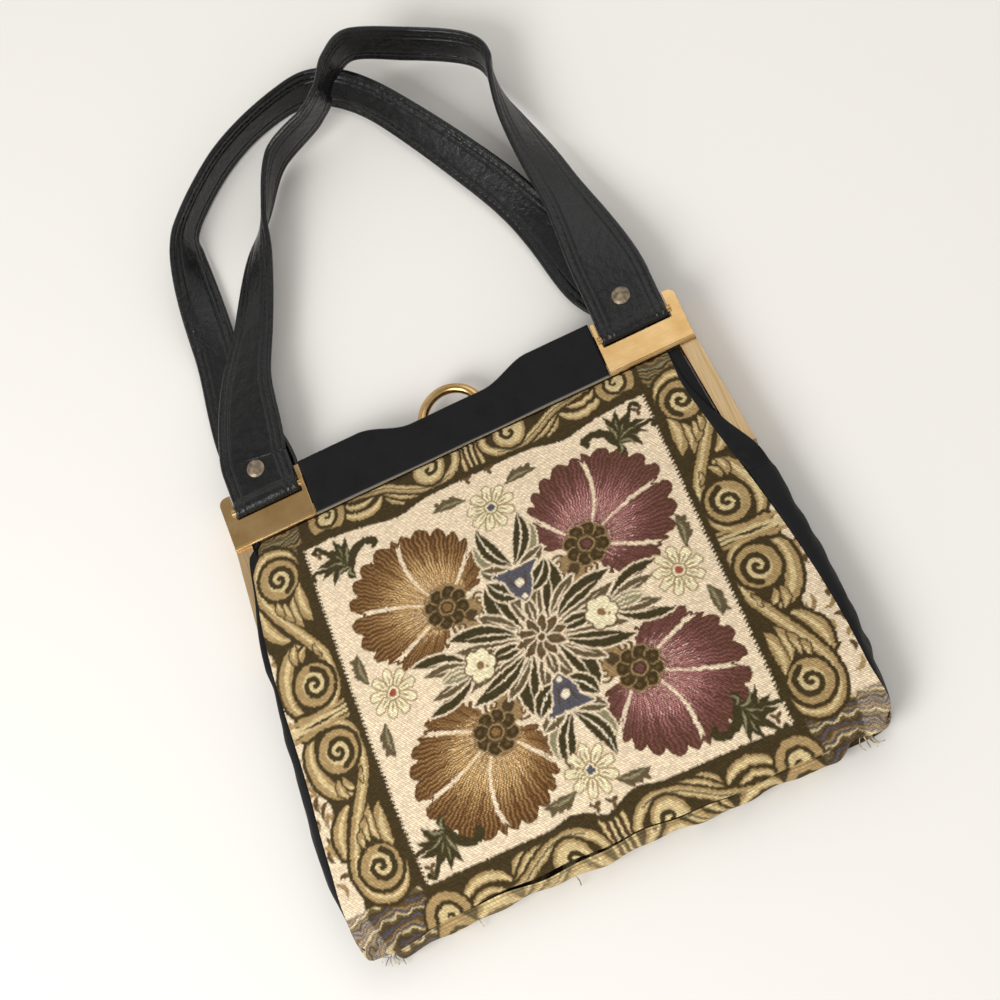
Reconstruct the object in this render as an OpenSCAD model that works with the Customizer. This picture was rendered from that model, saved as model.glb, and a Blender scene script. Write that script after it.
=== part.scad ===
// Framed shoulder bag lying on its back: cloth body, black gussets, hinged metal frame, two strap handles.
// X runs across the bag, Y from its bottom to its handles, Z up from the surface it lies on. All sizes in mm.

/* [Shown] */
// Which piece to draw

/* [Frame] */
// Width of the closed frame over its corner plates
frame_width = 257; // [220:1:300]
// Depth of each half of the frame, from its face to its open side
frame_depth = 7.1; // [6:0.1:10]
// Height of the top rail of each half
rail_height = 6.6; // [5:0.1:9]
// Width of a side arm
arm_width = 9; // [7:0.1:12]
// Drop from the lower line of the rail to the side hinge
arm_drop = 66; // [50:1:80]
// How far an arm leans outwards over its length
arm_lean = 5.5; // [2:0.1:9]
// Thickness of the frame's sheet metal
sheet = 1; // [0.8:0.1:1.4]
// Gap between the two closed halves
split_gap = 0.6; // [0.4:0.1:1]
// Radius of the hinge eye at the end of an arm
eye_radius = 4.6; // [4:0.1:5.4]
// Radius of the hinge rivet
hinge_pin_radius = 1.6; // [1.2:0.1:2]
// Thickness of a hinge eye
eye_thickness = 2; // [1.4:0.1:2.4]
// Running clearance of the hinges
clearance = 0.3; // [0.25:0.05:0.4]

/* [Corner plates] */
// Width of a corner plate
plate_width = 46; // [42:0.5:54]
// Height of a corner plate
plate_height = 30; // [27:0.5:36]
// Thickness of a corner plate
plate_thickness = 1.2; // [1:0.1:1.6]
// Radius of the outer top corner
plate_corner = 4; // [2:0.5:6]
// Radius of the rolled lip along the lower edge
lip_radius = 1; // [0.6:0.1:1.4]
// Diameter of the strap bar across the notch
strap_bar_diameter = 4; // [3:0.1:5]
// Height of the strap bar above the lower edge
strap_bar_height = 20; // [17:0.5:22]

/* [Collars] */
// Height of a leather collar at its ends
collar_height = 31; // [27:0.5:36]
// Depth of the dip in the middle of its top edge
collar_dip = 7.8; // [4:0.1:10]
// Half width of the level part of the dip
dip_half = 20; // [18:1:26]
// Half width over which the edge climbs back to full height
dip_climb = 48; // [44:1:60]
// Thickness of a collar
collar_thickness = 2.4; // [1.6:0.1:3]
// Gap between a collar and the corner plate beside it
collar_gap = 0.5; // [0.3:0.1:1]

/* [Clasp] */
// Outer radius of the pull ring
ring_radius = 19; // [18:0.1:20]
// Radius of the ring's wire
ring_wire = 2.6; // [2:0.1:2.8]
// Height of the ring's middle above its straight side
ring_rise = 8.5; // [7:0.1:10]
// Length of the knuckle that holds the ring's straight side
knuckle_length = 12; // [9:0.5:13]
// Wall of the knuckle around the bore
knuckle_wall = 1.3; // [1:0.1:1.6]
// Thickness of the latch fingers
finger_thickness = 1.6; // [1.2:0.1:2]
// Width of a latch finger
finger_width = 3.2; // [2.4:0.1:4]

/* [Body] */
// Height of the cloth body below the frame
body_height = 213; // [190:1:240]
// How far the cloth panel's top corners lie inside the frame's outer edge
panel_inset = 16; // [14.5:0.5:20]
// How far the cloth panel's widest part stands out past the frame on each side
panel_flare = 9; // [7:0.5:14]
// Radius of the bottom corners
panel_corner = 14; // [8:1:24]
// Greatest height of the crowned front above the resting surface
body_thickness = 43; // [34:0.5:60]
// How far the side gussets swell past the front panel's edge
gusset_swell = 10; // [4:0.5:16]
// Thickness of the cloth and of the gusset leather
cloth = 1.6; // [1.2:0.1:2]
// Thickness of the lining
lining_thickness = 0.8; // [0.5:0.1:1.2]
// Gap between the lining and the cloth
lining_gap = 0.4; // [0.3:0.1:0.8]

/* [Handles] */
// Reach of a handle above its strap bar
handle_reach = 219; // [190:1:260]
// Width of a strap where it folds around its bar
strap_end = 36.5; // [32:0.5:38]
// Width of a strap along the hand part
strap_middle = 24.5; // [20:0.5:28]
// Thickness of one strap layer
strap_layer = 1.7; // [1.4:0.1:2]
// Distance from the strap bar to the rivet
rivet_rise = 17; // [17:0.5:20]
// Radius of a rivet cap
rivet_cap = 4.75; // [4:0.05:5]
// Height of a rivet cap
rivet_height = 1.3; // [0.8:0.1:1.8]

/* [Hidden] */
$fn = 64;
tiny = 0.01;
floor_gap = 0.1;
seat = 0.4;

loop_inner = strap_bar_diameter / 2 + clearance;
loop_outer = loop_inner + strap_layer;
half_gap = split_gap / 2;
face = half_gap + frame_depth;
plate_face = face + plate_thickness;
bar_z = face + plate_thickness / 2;
mid_z = loop_outer + floor_gap + bar_z;
back_z = mid_z - face;
front_z0 = mid_z + face;
rest_y = 107;

rail_low = seat;
rail_top = rail_low + rail_height;
frame_out = frame_width / 2 - 0.3;
arm_end = -arm_drop + eye_radius + seat;
arm_in_end = frame_out + arm_lean - arm_width;
eye_front = arm_in_end + 1.1;
eye_back = eye_front + eye_thickness + clearance;
pin_head = eye_radius * 0.65;
pin_head_height = 0.8;
pin_from = eye_front - clearance;
pin_to = eye_back + eye_thickness + clearance;

plate_out = frame_width / 2;
panel_top = frame_width - 2 * panel_inset;
panel_bottom = frame_width + 2 * panel_flare;
plate_in = plate_out - plate_width;
strap_x = plate_out - (plate_width + 4) / 2;
notch_half = strap_end / 2 + seat;
notch_low = strap_bar_height - loop_outer - seat;
collar_half = plate_in - collar_gap;

ring_centre = ring_radius - ring_wire;
ring_bar = ring_wire - 0.3;
ring_knob = ring_wire + 0.3;
ring_bar_y = rail_top + ring_bar + clearance + knuckle_wall + seat;
ring_z = -1;
ring_start = -asin(ring_rise / ring_centre);
ring_half = ring_centre * cos(ring_start);
knuckle_radius = ring_bar + clearance + knuckle_wall;
finger_x = knuckle_length / 2 + 1;
finger_reach = face - 0.4;
finger_low = rail_top + 1.8;
ridge_top = finger_low - seat;
catch_z = ring_z + knuckle_radius + seat;

rows = [
    0, 0.04, 0.08, 0.12, 0.17, 0.22, 0.28, 0.34, 0.4, 0.46, 0.52,
    0.58, 0.64, 0.7, 0.76, 0.82, 0.87, 0.91, 0.94, 0.965, 0.985, 1
];
front_steps = 25;
gusset_steps = 8;
swell_from = (arm_drop + eye_radius + 4) / body_height;
widest = 0.87;
panel_at_hinge = pin_from - pin_head_height - seat;
flare_share = (panel_at_hinge - panel_top / 2) / (panel_bottom / 2 - panel_top / 2);
flare_power = ln(flare_share) / ln(sin(90 * (arm_drop + eye_radius + 2) / body_height / widest));

// Handle routes: across as a share of the strap's place, up as a share of the reach, lowest edge above the
// resting surface, roll in degrees.
strap_pair = 2 * strap_layer;
front_lift = mid_z + bar_z - strap_layer;
back_lift = mid_z - bar_z - strap_layer;
over = strap_middle * sin(58) + strap_pair;
ease = strap_middle / 3;
anchor_parallel = 3 * loop_outer;
anchor_length = rivet_rise + rivet_cap + seat + strap_layer;
start = (rivet_rise + rivet_cap + seat / 2) / handle_reach;
front_route = [
    [-1, start, front_lift, 0], [-0.985, start + 0.035, front_lift - 0.2, -1], [-0.905, 0.295, 13.6, -8],
    [-0.77, 0.43, 10.2, -15], [-0.617, 0.594, 5, -38], [-0.497, 0.703, 1.8, -74], [-0.333, 0.82, 4.5, -90],
    [-0.066, 0.853, over - ease, -86], [0.043, 0.875, over, -84], [0.14, 0.93, over + strap_layer, -88],
    [0.285, 0.977, over - 0.7 * ease, -94], [0.54, 0.953, 4, -104], [0.745, 0.898, 1.7, -106],
    [0.85, 0.852, 1.5, -106], [0.883, 0.807, 1.5, -103], [0.872, 0.764, 1.8, -95],
    [0.885, 0.637, 3.5, -61], [0.93, 0.475, 8.3, -30],
    [0.973, 0.315, 12.9, -13], [0.998, start + 0.05, front_lift - 0.4, -1], [1, start, front_lift, 0]
];
back_route = [
    [-1, start, back_lift, 0], [-1.008, start + 0.035, back_lift - 0.4, 0], [-1.033, 0.2, 1.4, 0],
    [-1.038, 0.31, 0.5, 1], [-1.02, 0.456, 0.4, 8], [-0.99, 0.615, 0.4, 38],
    [-0.96, 0.708, 0.4, 62], [-0.915, 0.767, 0.4, 84],
    [-0.787, 0.833, 0.4, 88], [-0.607, 0.9, 0.4, 88], [-0.404, 0.947, 0.4, 88], [-0.176, 0.974, 0.4, 82],
    [-0.009, 0.97, 0.4, 66], [0.13, 0.931, 0.4, 56], [0.26, 0.86, 0.4, 52], [0.402, 0.75, 0.4, 45],
    [0.552, 0.62, 0.4, 35], [0.69, 0.488, 0.4, 25], [0.803, 0.348, 0.4, 12], [0.906, 0.2, 1.2, 3],
    [0.985, start + 0.035, back_lift - 0.4, 0], [1, start, back_lift, 0]
];
route_steps = 3;
strap_edge = 0.6;

cloth_colour = [0.72, 0.63, 0.47];
leather_colour = [0.08, 0.08, 0.09];
gold_colour = [0.76, 0.62, 0.36];
lining_colour = [0.45, 0.40, 0.33];

function clamp(q) = min(1, max(0, q));
function soft(q) = let (c = clamp(q)) c * c * (3 - 2 * c);
function corner_cut(t) = let (c = clamp(1 - (1 - t) * body_height / panel_corner))
    panel_corner * (1 - sqrt(1 - c * c));
function side(t) = panel_top / 2 - corner_cut(t)
    + (panel_bottom - panel_top) / 2 * pow(sin(90 * clamp(t / widest)), flare_power);
function seam(t) = front_z0 - 0.9 + 5.5 * soft(t / 0.5) - 7 * soft((t - 0.85) / 0.15);
function crown(t) = t < 0.6
    ? front_z0 + (body_thickness - front_z0) * pow(sin(150 * t), 0.9)
    : body_thickness - (body_thickness - front_z0 - 0.6) * pow((t - 0.6) / 0.4, 2.6);
function base(t) = back_z * (1 - soft(t / 0.12));
function swell(t) = gusset_swell * soft((t - swell_from) / 0.2) * (1 - 0.65 * soft((t - 0.55) / 0.35));
function front_height(s, t) = seam(t) + (crown(t) - seam(t)) * (1 - pow(abs(s), 2.2));
function level(t) = -seat - t * (body_height - seat);

// Points of one cross section, set d inside the outer skin.
function front_point(i, t, d) = let (s = -1 + 2 * i / front_steps)
    [s * (side(t) - d), level(t), front_height(s, t) - d];
function gusset_point(i, t, d) = let (q = i / gusset_steps)
    [side(t) + swell(t) * sin(180 * q) - d, level(t), (seam(t) - d) * (1 - q) + (base(t) + d) * q];
function flip(p) = [-p[0], p[1], p[2]];
function ring_points(t, d) = concat(
    [for (i = [0:front_steps]) front_point(i, t, d)],
    [for (i = [1:gusset_steps]) gusset_point(i, t, d)],
    [for (i = [gusset_steps:-1:1]) flip(gusset_point(i, t, d))]
);

// Catmull-Rom through a list of rows.
function spline(a, b, c, d, q) = 0.5 * (2 * b + (c - a) * q + (2 * a - 5 * b + 4 * c - d) * q * q
    + (3 * b - a - 3 * c + d) * q * q * q);
function fine(route) = let (n = len(route)) concat(
    [for (i = [0:n - 2]) for (k = [0:route_steps - 1])
        spline(route[max(0, i - 1)], route[i], route[i + 1], route[min(n - 1, i + 2)], k / route_steps)],
    [route[n - 1]]
);
function strap_width(share) = strap_middle
    + (strap_end - 0.2 - strap_middle) * (1 - soft((share - 0.13) / 0.32));
function unit(v) = v / norm(v);
function place(r) = let (w = strap_width(r[1]))
    [r[0] * strap_x, strap_bar_height + r[1] * handle_reach,
        r[2] + abs(sin(r[3])) * w / 2 + abs(cos(r[3])) * strap_layer];
function strap_ring(route, i) =
    let (
        n = len(route),
        r = route[i],
        p = place(r),
        ends = i == 0 || i == n - 1,
        t = ends ? [0, i == 0 ? 1 : -1, 0] : unit(place(route[i + 1]) - place(route[i - 1])),
        h = unit([-t[1], t[0], 0]),
        u = cross(t, h),
        w = h * cos(r[3]) + u * sin(r[3]),
        f = cross(t, w),
        a = strap_width(r[1]) / 2,
        b = strap_layer,
        e = strap_edge
    )
    [for (c = [
        [a, e - b], [a - e, -b], [e - a, -b], [-a, e - b],
        [-a, b - e], [e - a, b], [a - e, b], [a, b - e]
    ]) p + w * c[0] + f * c[1]];

// A tube of equal point rings, closed flat at both ends.
module loft(rings) {
    n = len(rings[0]);
    m = len(rings);
    polyhedron(
        points = [for (r = rings) each r],
        faces = concat(
            [[for (k = [n - 1:-1:0]) k]],
            [for (j = [0:m - 2]) for (k = [0:n - 1]) each [
                [j * n + k, j * n + (k + 1) % n, (j + 1) * n + k],
                [j * n + (k + 1) % n, (j + 1) * n + (k + 1) % n, (j + 1) * n + k]
            ]],
            [[for (k = [0:n - 1]) (m - 1) * n + k]]
        )
    );
}

// A sheet between an outer and an inner grid of points.
module sheet_between(outer, inner) {
    loft([for (j = [0:len(outer) - 1])
        concat(outer[j], [for (k = [len(inner[j]) - 1:-1:0]) inner[j][k]])]);
}

module in_place() {
    translate([0, rest_y, 0]) children();
}

module front_half() {
    translate([0, rest_y, mid_z]) children();
}

module back_half() {
    translate([0, rest_y, mid_z]) mirror([0, 0, 1]) children();
}

module along_x(from, to, radius) {
    translate([from, 0, 0]) rotate([0, 90, 0]) cylinder(h = to - from, r = radius);
}

module frame_outline(inset) {
    top = rail_top - inset;
    slope = arm_lean / (rail_top - arm_end);
    for (s = [-1, 1])
        polygon([
            [s * (frame_out - inset + slope * inset), top],
            [s * (frame_out + arm_lean - inset), arm_end + inset],
            [s * (frame_out + arm_lean - arm_width + inset), arm_end + inset],
            [s * (frame_out - arm_width + inset + slope * inset), top]
        ]);
    translate([-frame_out + inset, rail_low + inset])
        square([2 * (frame_out - inset), rail_height - 2 * inset]);
}

module half_frame(eye_x) {
    difference() {
        union() {
            difference() {
                translate([0, 0, half_gap]) linear_extrude(frame_depth) frame_outline(0);
                translate([0, 0, half_gap - 1]) linear_extrude(frame_depth - sheet + 1) frame_outline(sheet);
            }
            for (s = [0, 1]) mirror([s, 0, 0]) {
                translate([0, -arm_drop, 0]) along_x(eye_x, eye_x + eye_thickness, eye_radius);
                translate([eye_x, -arm_drop, half_gap])
                    cube([eye_thickness, eye_radius + seat + sheet + 2, eye_radius - half_gap]);
            }
        }
        for (s = [0, 1]) mirror([s, 0, 0]) translate([0, -arm_drop, 0])
            along_x(eye_x - 1, eye_x + eye_thickness + 1, hinge_pin_radius + clearance);
    }
}

module hinge_rivet(s) {
    in_place() mirror([s, 0, 0]) translate([0, -arm_drop, mid_z]) {
        along_x(pin_from - pin_head_height, pin_to + pin_head_height, hinge_pin_radius);
        along_x(pin_from - pin_head_height, pin_from, pin_head);
        along_x(pin_to, pin_to + pin_head_height, pin_head);
    }
}

module corner_plate() {
    difference() {
        union() {
            translate([0, 0, face]) linear_extrude(plate_thickness) {
                translate([plate_in, 0]) square([plate_width - plate_corner, plate_height]);
                translate([plate_in, 0]) square([plate_width, plate_height - plate_corner]);
                translate([plate_out - plate_corner, plate_height - plate_corner]) circle(plate_corner);
            }
            translate([plate_out - plate_thickness, rail_top + 0.2, half_gap])
                cube([plate_thickness, plate_height - plate_corner - rail_top - 0.2, frame_depth + tiny]);
        }
        translate([strap_x - notch_half, notch_low, face - 1])
            cube([2 * notch_half, plate_height, plate_thickness + 2]);
    }
    translate([0, strap_bar_height, bar_z])
        along_x(strap_x - notch_half - 1.4, strap_x + notch_half + 1.4, strap_bar_diameter / 2);
    translate([0, lip_radius, face + lip_radius + 0.05]) along_x(plate_in, plate_out, lip_radius);
}

module collar_outline() {
    n = 8;
    climb = [for (k = [0:n]) [
        dip_half + (dip_climb - dip_half) * k / n,
        collar_height - collar_dip * (1 - soft(k / n))
    ]];
    polygon(concat(
        [[-collar_half, 0], [collar_half, 0], [collar_half, collar_height]],
        [for (k = [n:-1:0]) climb[k]],
        [for (k = [0:n]) [-climb[k][0], climb[k][1]]],
        [[-collar_half, collar_height]]
    ));
}

module collar() {
    translate([0, 0, face]) linear_extrude(collar_thickness) collar_outline();
}

module strap_anchor() {
    r = loop_outer;
    difference() {
        translate([strap_x - strap_end / 2, 0, 0]) rotate([90, 0, 90])
            linear_extrude(strap_end) difference() {
                union() {
                    circle(r);
                    polygon([
                        [0, r], [anchor_parallel, strap_layer], [anchor_length, strap_layer],
                        [anchor_length, -strap_layer], [anchor_parallel, -strap_layer], [0, -r]
                    ]);
                }
                circle(loop_inner);
                polygon([[0, loop_inner], [anchor_parallel - 3, 0], [0, -loop_inner]]);
            }
        translate([strap_x, rivet_rise, -strap_pair]) cylinder(h = 2 * strap_pair, r = rivet_cap * 0.5 + 0.1);
    }
}

module handle(route, z) {
    fine_route = fine(route);
    translate([0, rest_y, 0]) {
        loft([for (i = [0:len(fine_route) - 1]) strap_ring(fine_route, i)]);
        for (s = [0, 1]) mirror([s, 0, 0]) translate([0, strap_bar_height, z]) strap_anchor();
    }
}

module strap_rivet(s, z) {
    translate([s * strap_x, rest_y + strap_bar_height + rivet_rise, z])
        for (k = [0, 1]) mirror([0, 0, k]) {
            cylinder(h = strap_layer + tiny, r = rivet_cap * 0.5);
            translate([0, 0, strap_layer]) cylinder(h = rivet_height * 0.4, r = rivet_cap);
            translate([0, 0, strap_layer + rivet_height * 0.4])
                cylinder(h = rivet_height * 0.6, r1 = rivet_cap, r2 = rivet_cap * 0.7);
        }
}

module gusset_sheet() {
    in_place() sheet_between(
        [for (t = rows) [for (i = [0:gusset_steps]) gusset_point(i, t, 0)]],
        [for (t = rows) [for (i = [0:gusset_steps]) gusset_point(i, t, cloth)]]
    );
}

module front_panel() {
    color(cloth_colour) in_place() sheet_between(
        [for (t = rows) [for (i = [0:front_steps]) front_point(i, t, 0)]],
        [for (t = rows) [for (i = [0:front_steps]) front_point(i, t, cloth)]]
    );
}

module back_panel() {
    n = len(rows) - 1;
    color(cloth_colour) in_place() intersection() {
        linear_extrude(3 * mid_z) polygon(concat(
            [for (t = rows) [side(t) - cloth - 0.1, level(t)]],
            [for (i = [n:-1:0]) [cloth + 0.1 - side(rows[i]), level(rows[i])]]
        ));
        translate([-panel_bottom, 0, 0]) rotate([90, 0, 90])
            linear_extrude(2 * panel_bottom) polygon(concat(
                [for (t = rows) [level(t), base(t)]],
                [for (i = [n:-1:0]) [level(rows[i]), base(rows[i]) + cloth]]
            ));
    }
}

module bottom_panel() {
    color(cloth_colour) translate([0, rest_y - body_height, 0]) rotate([90, 0, 0])
        linear_extrude(cloth) polygon([for (p = ring_points(1, 0)) [p[0], p[2]]]);
}

module left_gusset() {
    color(leather_colour) mirror([1, 0, 0]) gusset_sheet();
}

module right_gusset() {
    color(leather_colour) gusset_sheet();
}

module lining() {
    d = cloth + lining_gap;
    e = d + lining_thickness;
    last = len(rows) - 1;
    n = len(ring_points(0, d));
    outer = [for (i = [1:last - 1]) ring_points(rows[i], d)];
    inner = [for (i = [last - 2:-1:1]) ring_points(rows[i], e)];
    color(lining_colour) in_place() {
        rings = concat(outer, inner);
        m = len(rings);
        turn = len(outer);
        polyhedron(
            points = [for (r = rings) each r],
            faces = concat(
                [for (j = [0:m - 1]) if (j != turn - 1) for (k = [0:n - 1])
                    let (a = j * n, b = ((j + 1) % m) * n, q = (k + 1) % n) each [
                        [a + k, a + q, b + k], [a + q, b + q, b + k]
                    ]],
                [[for (k = [0:n - 1]) (turn - 1) * n + k]],
                [[for (k = [n - 1:-1:0]) turn * n + k]]
            )
        );
    }
}

module back_frame() {
    color(gold_colour) back_half() half_frame(eye_back);
}

module front_frame() {
    color(gold_colour) front_half() half_frame(eye_front);
}

module left_hinge_rivet() {
    color(gold_colour) hinge_rivet(1);
}

module right_hinge_rivet() {
    color(gold_colour) hinge_rivet(0);
}

module front_left_plate() {
    color(gold_colour) front_half() mirror([1, 0, 0]) corner_plate();
}

module front_right_plate() {
    color(gold_colour) front_half() corner_plate();
}

module back_left_plate() {
    color(gold_colour) back_half() mirror([1, 0, 0]) corner_plate();
}

module back_right_plate() {
    color(gold_colour) back_half() corner_plate();
}

module front_collar() {
    color(leather_colour) front_half() collar();
}

module back_collar() {
    color(leather_colour) back_half() collar();
}

module clasp_knuckle() {
    color(gold_colour) front_half() difference() {
        union() {
            translate([0, ring_bar_y, ring_z])
                along_x(-knuckle_length / 2, knuckle_length / 2, knuckle_radius);
            translate([-knuckle_length / 2, rail_top, ring_z - knuckle_radius])
                cube([knuckle_length, ring_bar_y - rail_top, knuckle_radius + ring_z * -1 - half_gap]);
        }
        translate([0, ring_bar_y, ring_z]) along_x(-knuckle_length, knuckle_length, ring_bar + clearance);
    }
}

module clasp_ring() {
    color(gold_colour) front_half() translate([0, ring_bar_y, ring_z]) {
        along_x(-ring_half, ring_half, ring_bar);
        for (s = [-1, 1]) translate([s * ring_half, 0, 0]) rotate([0, 0, -90]) sphere(ring_knob);
        translate([0, ring_rise, 0]) rotate([0, 0, ring_start])
            rotate_extrude(angle = 180 - 2 * ring_start) translate([ring_centre, 0]) circle(ring_wire);
        for (s = [0, 1]) mirror([s, 0, 0]) translate([finger_x, -finger_thickness / 2, 0]) {
            cube([finger_width, finger_thickness, finger_reach - ring_z]);
            translate([0, finger_low - ring_bar_y + finger_thickness / 2, finger_reach - ring_z - 1.2])
                cube([finger_width, ring_bar_y - finger_low, 1.2]);
        }
    }
}

module clasp_catch() {
    color(gold_colour) front_half() {
        translate([-finger_x - finger_width - 1, rail_top, catch_z])
            cube([2 * (finger_x + finger_width + 1), 0.8, face - catch_z - 0.4]);
        for (s = [0, 1]) mirror([s, 0, 0]) translate([finger_x, rail_top, catch_z])
            cube([finger_width, ridge_top - rail_top, 1]);
    }
}

module front_handle() {
    color(leather_colour) handle(front_route, mid_z + bar_z);
}

module back_handle() {
    color(leather_colour) handle(back_route, mid_z - bar_z);
}

module front_left_rivet() {
    color(gold_colour) strap_rivet(-1, mid_z + bar_z);
}

module front_right_rivet() {
    color(gold_colour) strap_rivet(1, mid_z + bar_z);
}

module back_left_rivet() {
    color(gold_colour) strap_rivet(-1, mid_z - bar_z);
}

module back_right_rivet() {
    color(gold_colour) strap_rivet(1, mid_z - bar_z);
}

front_panel();
back_panel();
bottom_panel();
left_gusset();
right_gusset();
lining();
back_frame();
front_frame();
left_hinge_rivet();
right_hinge_rivet();
front_left_plate();
front_right_plate();
back_left_plate();
back_right_plate();
front_collar();
back_collar();
clasp_knuckle();
clasp_ring();
clasp_catch();
front_handle();
back_handle();
front_left_rivet();
front_right_rivet();
back_left_rivet();
back_right_rivet();
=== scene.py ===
# %% [markdown]
# # A tapestry shoulder bag
# A framed bag lies on its back: a woven tapestry body, black leather gussets, a hinged
# gilt frame with polished corner plates, and two long strap handles that have flopped over
# each other. The metal parts come from the CAD model as they are. Everything soft is
# modelled here, on top of the same sizes, because cloth and leather need sag, stitches and
# grain that a plain solid doesn't have.

# %% Load the frame
import math

import bpy
import numpy as np
from mathutils import Matrix, Vector


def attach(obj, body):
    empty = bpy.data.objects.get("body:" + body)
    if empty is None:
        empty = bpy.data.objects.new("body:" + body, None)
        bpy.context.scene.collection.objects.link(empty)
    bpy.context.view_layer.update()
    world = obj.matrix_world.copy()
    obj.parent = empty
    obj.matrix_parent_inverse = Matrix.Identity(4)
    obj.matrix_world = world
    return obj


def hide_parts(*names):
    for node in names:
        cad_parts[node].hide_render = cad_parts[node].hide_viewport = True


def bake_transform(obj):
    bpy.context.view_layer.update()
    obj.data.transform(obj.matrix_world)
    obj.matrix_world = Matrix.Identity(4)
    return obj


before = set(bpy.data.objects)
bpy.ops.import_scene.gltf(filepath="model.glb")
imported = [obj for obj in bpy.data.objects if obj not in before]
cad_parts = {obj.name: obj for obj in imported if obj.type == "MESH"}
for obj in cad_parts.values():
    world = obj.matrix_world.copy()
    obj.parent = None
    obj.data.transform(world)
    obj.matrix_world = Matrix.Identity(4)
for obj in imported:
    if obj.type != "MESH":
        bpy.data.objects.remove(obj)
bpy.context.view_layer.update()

# %% [markdown]
# ## The camera
# The photograph looks down on the bag from a little below its bottom edge, and the camera
# is turned so that the bag lies askew in the picture. A camera like that is easiest to set
# from a point it looks at, a distance, two angles and a roll, each of which can be nudged
# alone while comparing with the photograph.

# %% Camera
look_at = Vector((0.0067, 0.0727, 0.020))
distance, azimuth, elevation, roll = 0.942, 17.2, 69.3, -41.1

turn = (
    Matrix.Rotation(math.radians(azimuth), 4, "Z")
    @ Matrix.Rotation(math.radians(90 - elevation), 4, "X")
    @ Matrix.Rotation(math.radians(roll), 4, "Z")
)
bpy.ops.object.select_all(action="DESELECT")
bpy.ops.object.camera_add()
camera = bpy.context.object
camera.name = "photo_camera"
camera.matrix_world = Matrix.Translation(look_at + turn.to_3x3() @ Vector((0, 0, distance))) @ turn
camera.data.lens = 68.2
camera.data.sensor_width = 36
bpy.context.scene.camera = camera
print("camera at", [round(v, 3) for v in camera.matrix_world.translation])

# %% [markdown]
# ## Colours and nodes
# Colours are read off as sRGB hex values, but shaders work in linear light, so one function
# converts them. A second small function adds any shader node with its settings and links, and
# the part of it that sets and links sockets also serves the shader that is already there.
# That keeps each material short enough to read as a recipe.

# %% Colour and node helpers
def colour(hex_value):
    parts = [int(hex_value[i:i + 2], 16) / 255 for i in (1, 3, 5)]
    return [c / 12.92 if c <= 0.04045 else ((c + 0.055) / 1.055) ** 2.4 for c in parts]


def rgba(hex_value):
    return (*colour(hex_value), 1.0)


def wire(node, values=None, links=None):
    """Give sockets of a node their values, and link others from (node, output) pairs."""
    for key, value in (values or {}).items():
        node.inputs[key].default_value = value
    for key, (source, output) in (links or {}).items():
        node.id_data.links.new(source.outputs[output], node.inputs[key])
    return node


def add(tree, kind, values=None, links=None, stops=(), **settings):
    """Add a shader node; stops are the places and hex colours along a colour ramp."""
    made = tree.nodes.new("ShaderNode" + kind)
    for key, value in settings.items():
        setattr(made, key, value)
    for i, (place, hex_value) in enumerate(stops):
        made.color_ramp.elements[i].position = place
        made.color_ramp.elements[i].color = rgba(hex_value)
    return wire(made, values, links)


def material(name):
    made = bpy.data.materials.new(name)
    made.use_nodes = True
    return made, made.node_tree, made.node_tree.nodes["Principled BSDF"]


print("gold in linear light", [round(c, 3) for c in colour("#C9A766")])

# %% [markdown]
# ## The floor and the light
# The bag was photographed on a white sheet under soft daylight that comes from the lower left
# of the picture. One wide area light gives that daylight and a weaker one opens the shadows.
# The room is a world that is bright near the horizon and dimmer overhead, so that polished
# metal has something to reflect. The Standard view keeps the hex colours as they are read.

# %% Floor and lights
bpy.context.scene.view_settings.view_transform = "Standard"
bpy.ops.object.select_all(action="DESELECT")
floor_z = -0.0006
bpy.ops.mesh.primitive_plane_add(size=30, location=(0, 0, floor_z))
floor = bpy.context.object
floor.name = "studio_floor"
bpy.ops.object.transform_apply(location=True, rotation=False, scale=False)
# Pale paper floor: matt and nearly white, so that the bag's own colours stand out.
paper, tree, surface = material("pale_paper_floor")
wire(surface, {"Base Color": rgba("#EDEAE5"), "Roughness": 0.9})
floor.data.materials.append(paper)

for name, place, size, watts in (
    ("window_light", (-0.95, -0.55, 1.1), 0.9, 17),
    ("fill_light", (0.66, 0.8, 1.4), 1.3, 5),
):
    bpy.ops.object.light_add(type="AREA", location=place)
    lamp = bpy.context.object
    lamp.name = name
    lamp.data.size = size
    lamp.data.energy = watts
    lamp.rotation_euler = (Vector((0, 0.03, 0)) - Vector(place)).to_track_quat("-Z", "Y").to_euler()
world = bpy.data.worlds.new("pale_room")
world.use_nodes = True
tree = world.node_tree
way = add(tree, "TexCoord")
height = add(tree, "SeparateXYZ", links={"Vector": (way, "Generated")})
room = add(tree, "ValToRGB", links={"Fac": (height, "Z")}, stops=((0.35, "#FDFCF9"), (0.95, "#ADABA8")))
wire(tree.nodes["Background"], {"Strength": 0.86}, {"Color": (room, "Color")})
bpy.context.scene.world = world

# %% [markdown]
# ## Gilt metals
# The frame's arms are brushed along their length, so their grain is a noise that is
# stretched along Y: fine across, long along. The corner plates, the ring and its knuckle
# are polished and a little scratched. The rivets are dull, aged brass. All keep the CAD
# shape, and a Bevel node softens the edges that catch the light.

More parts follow.
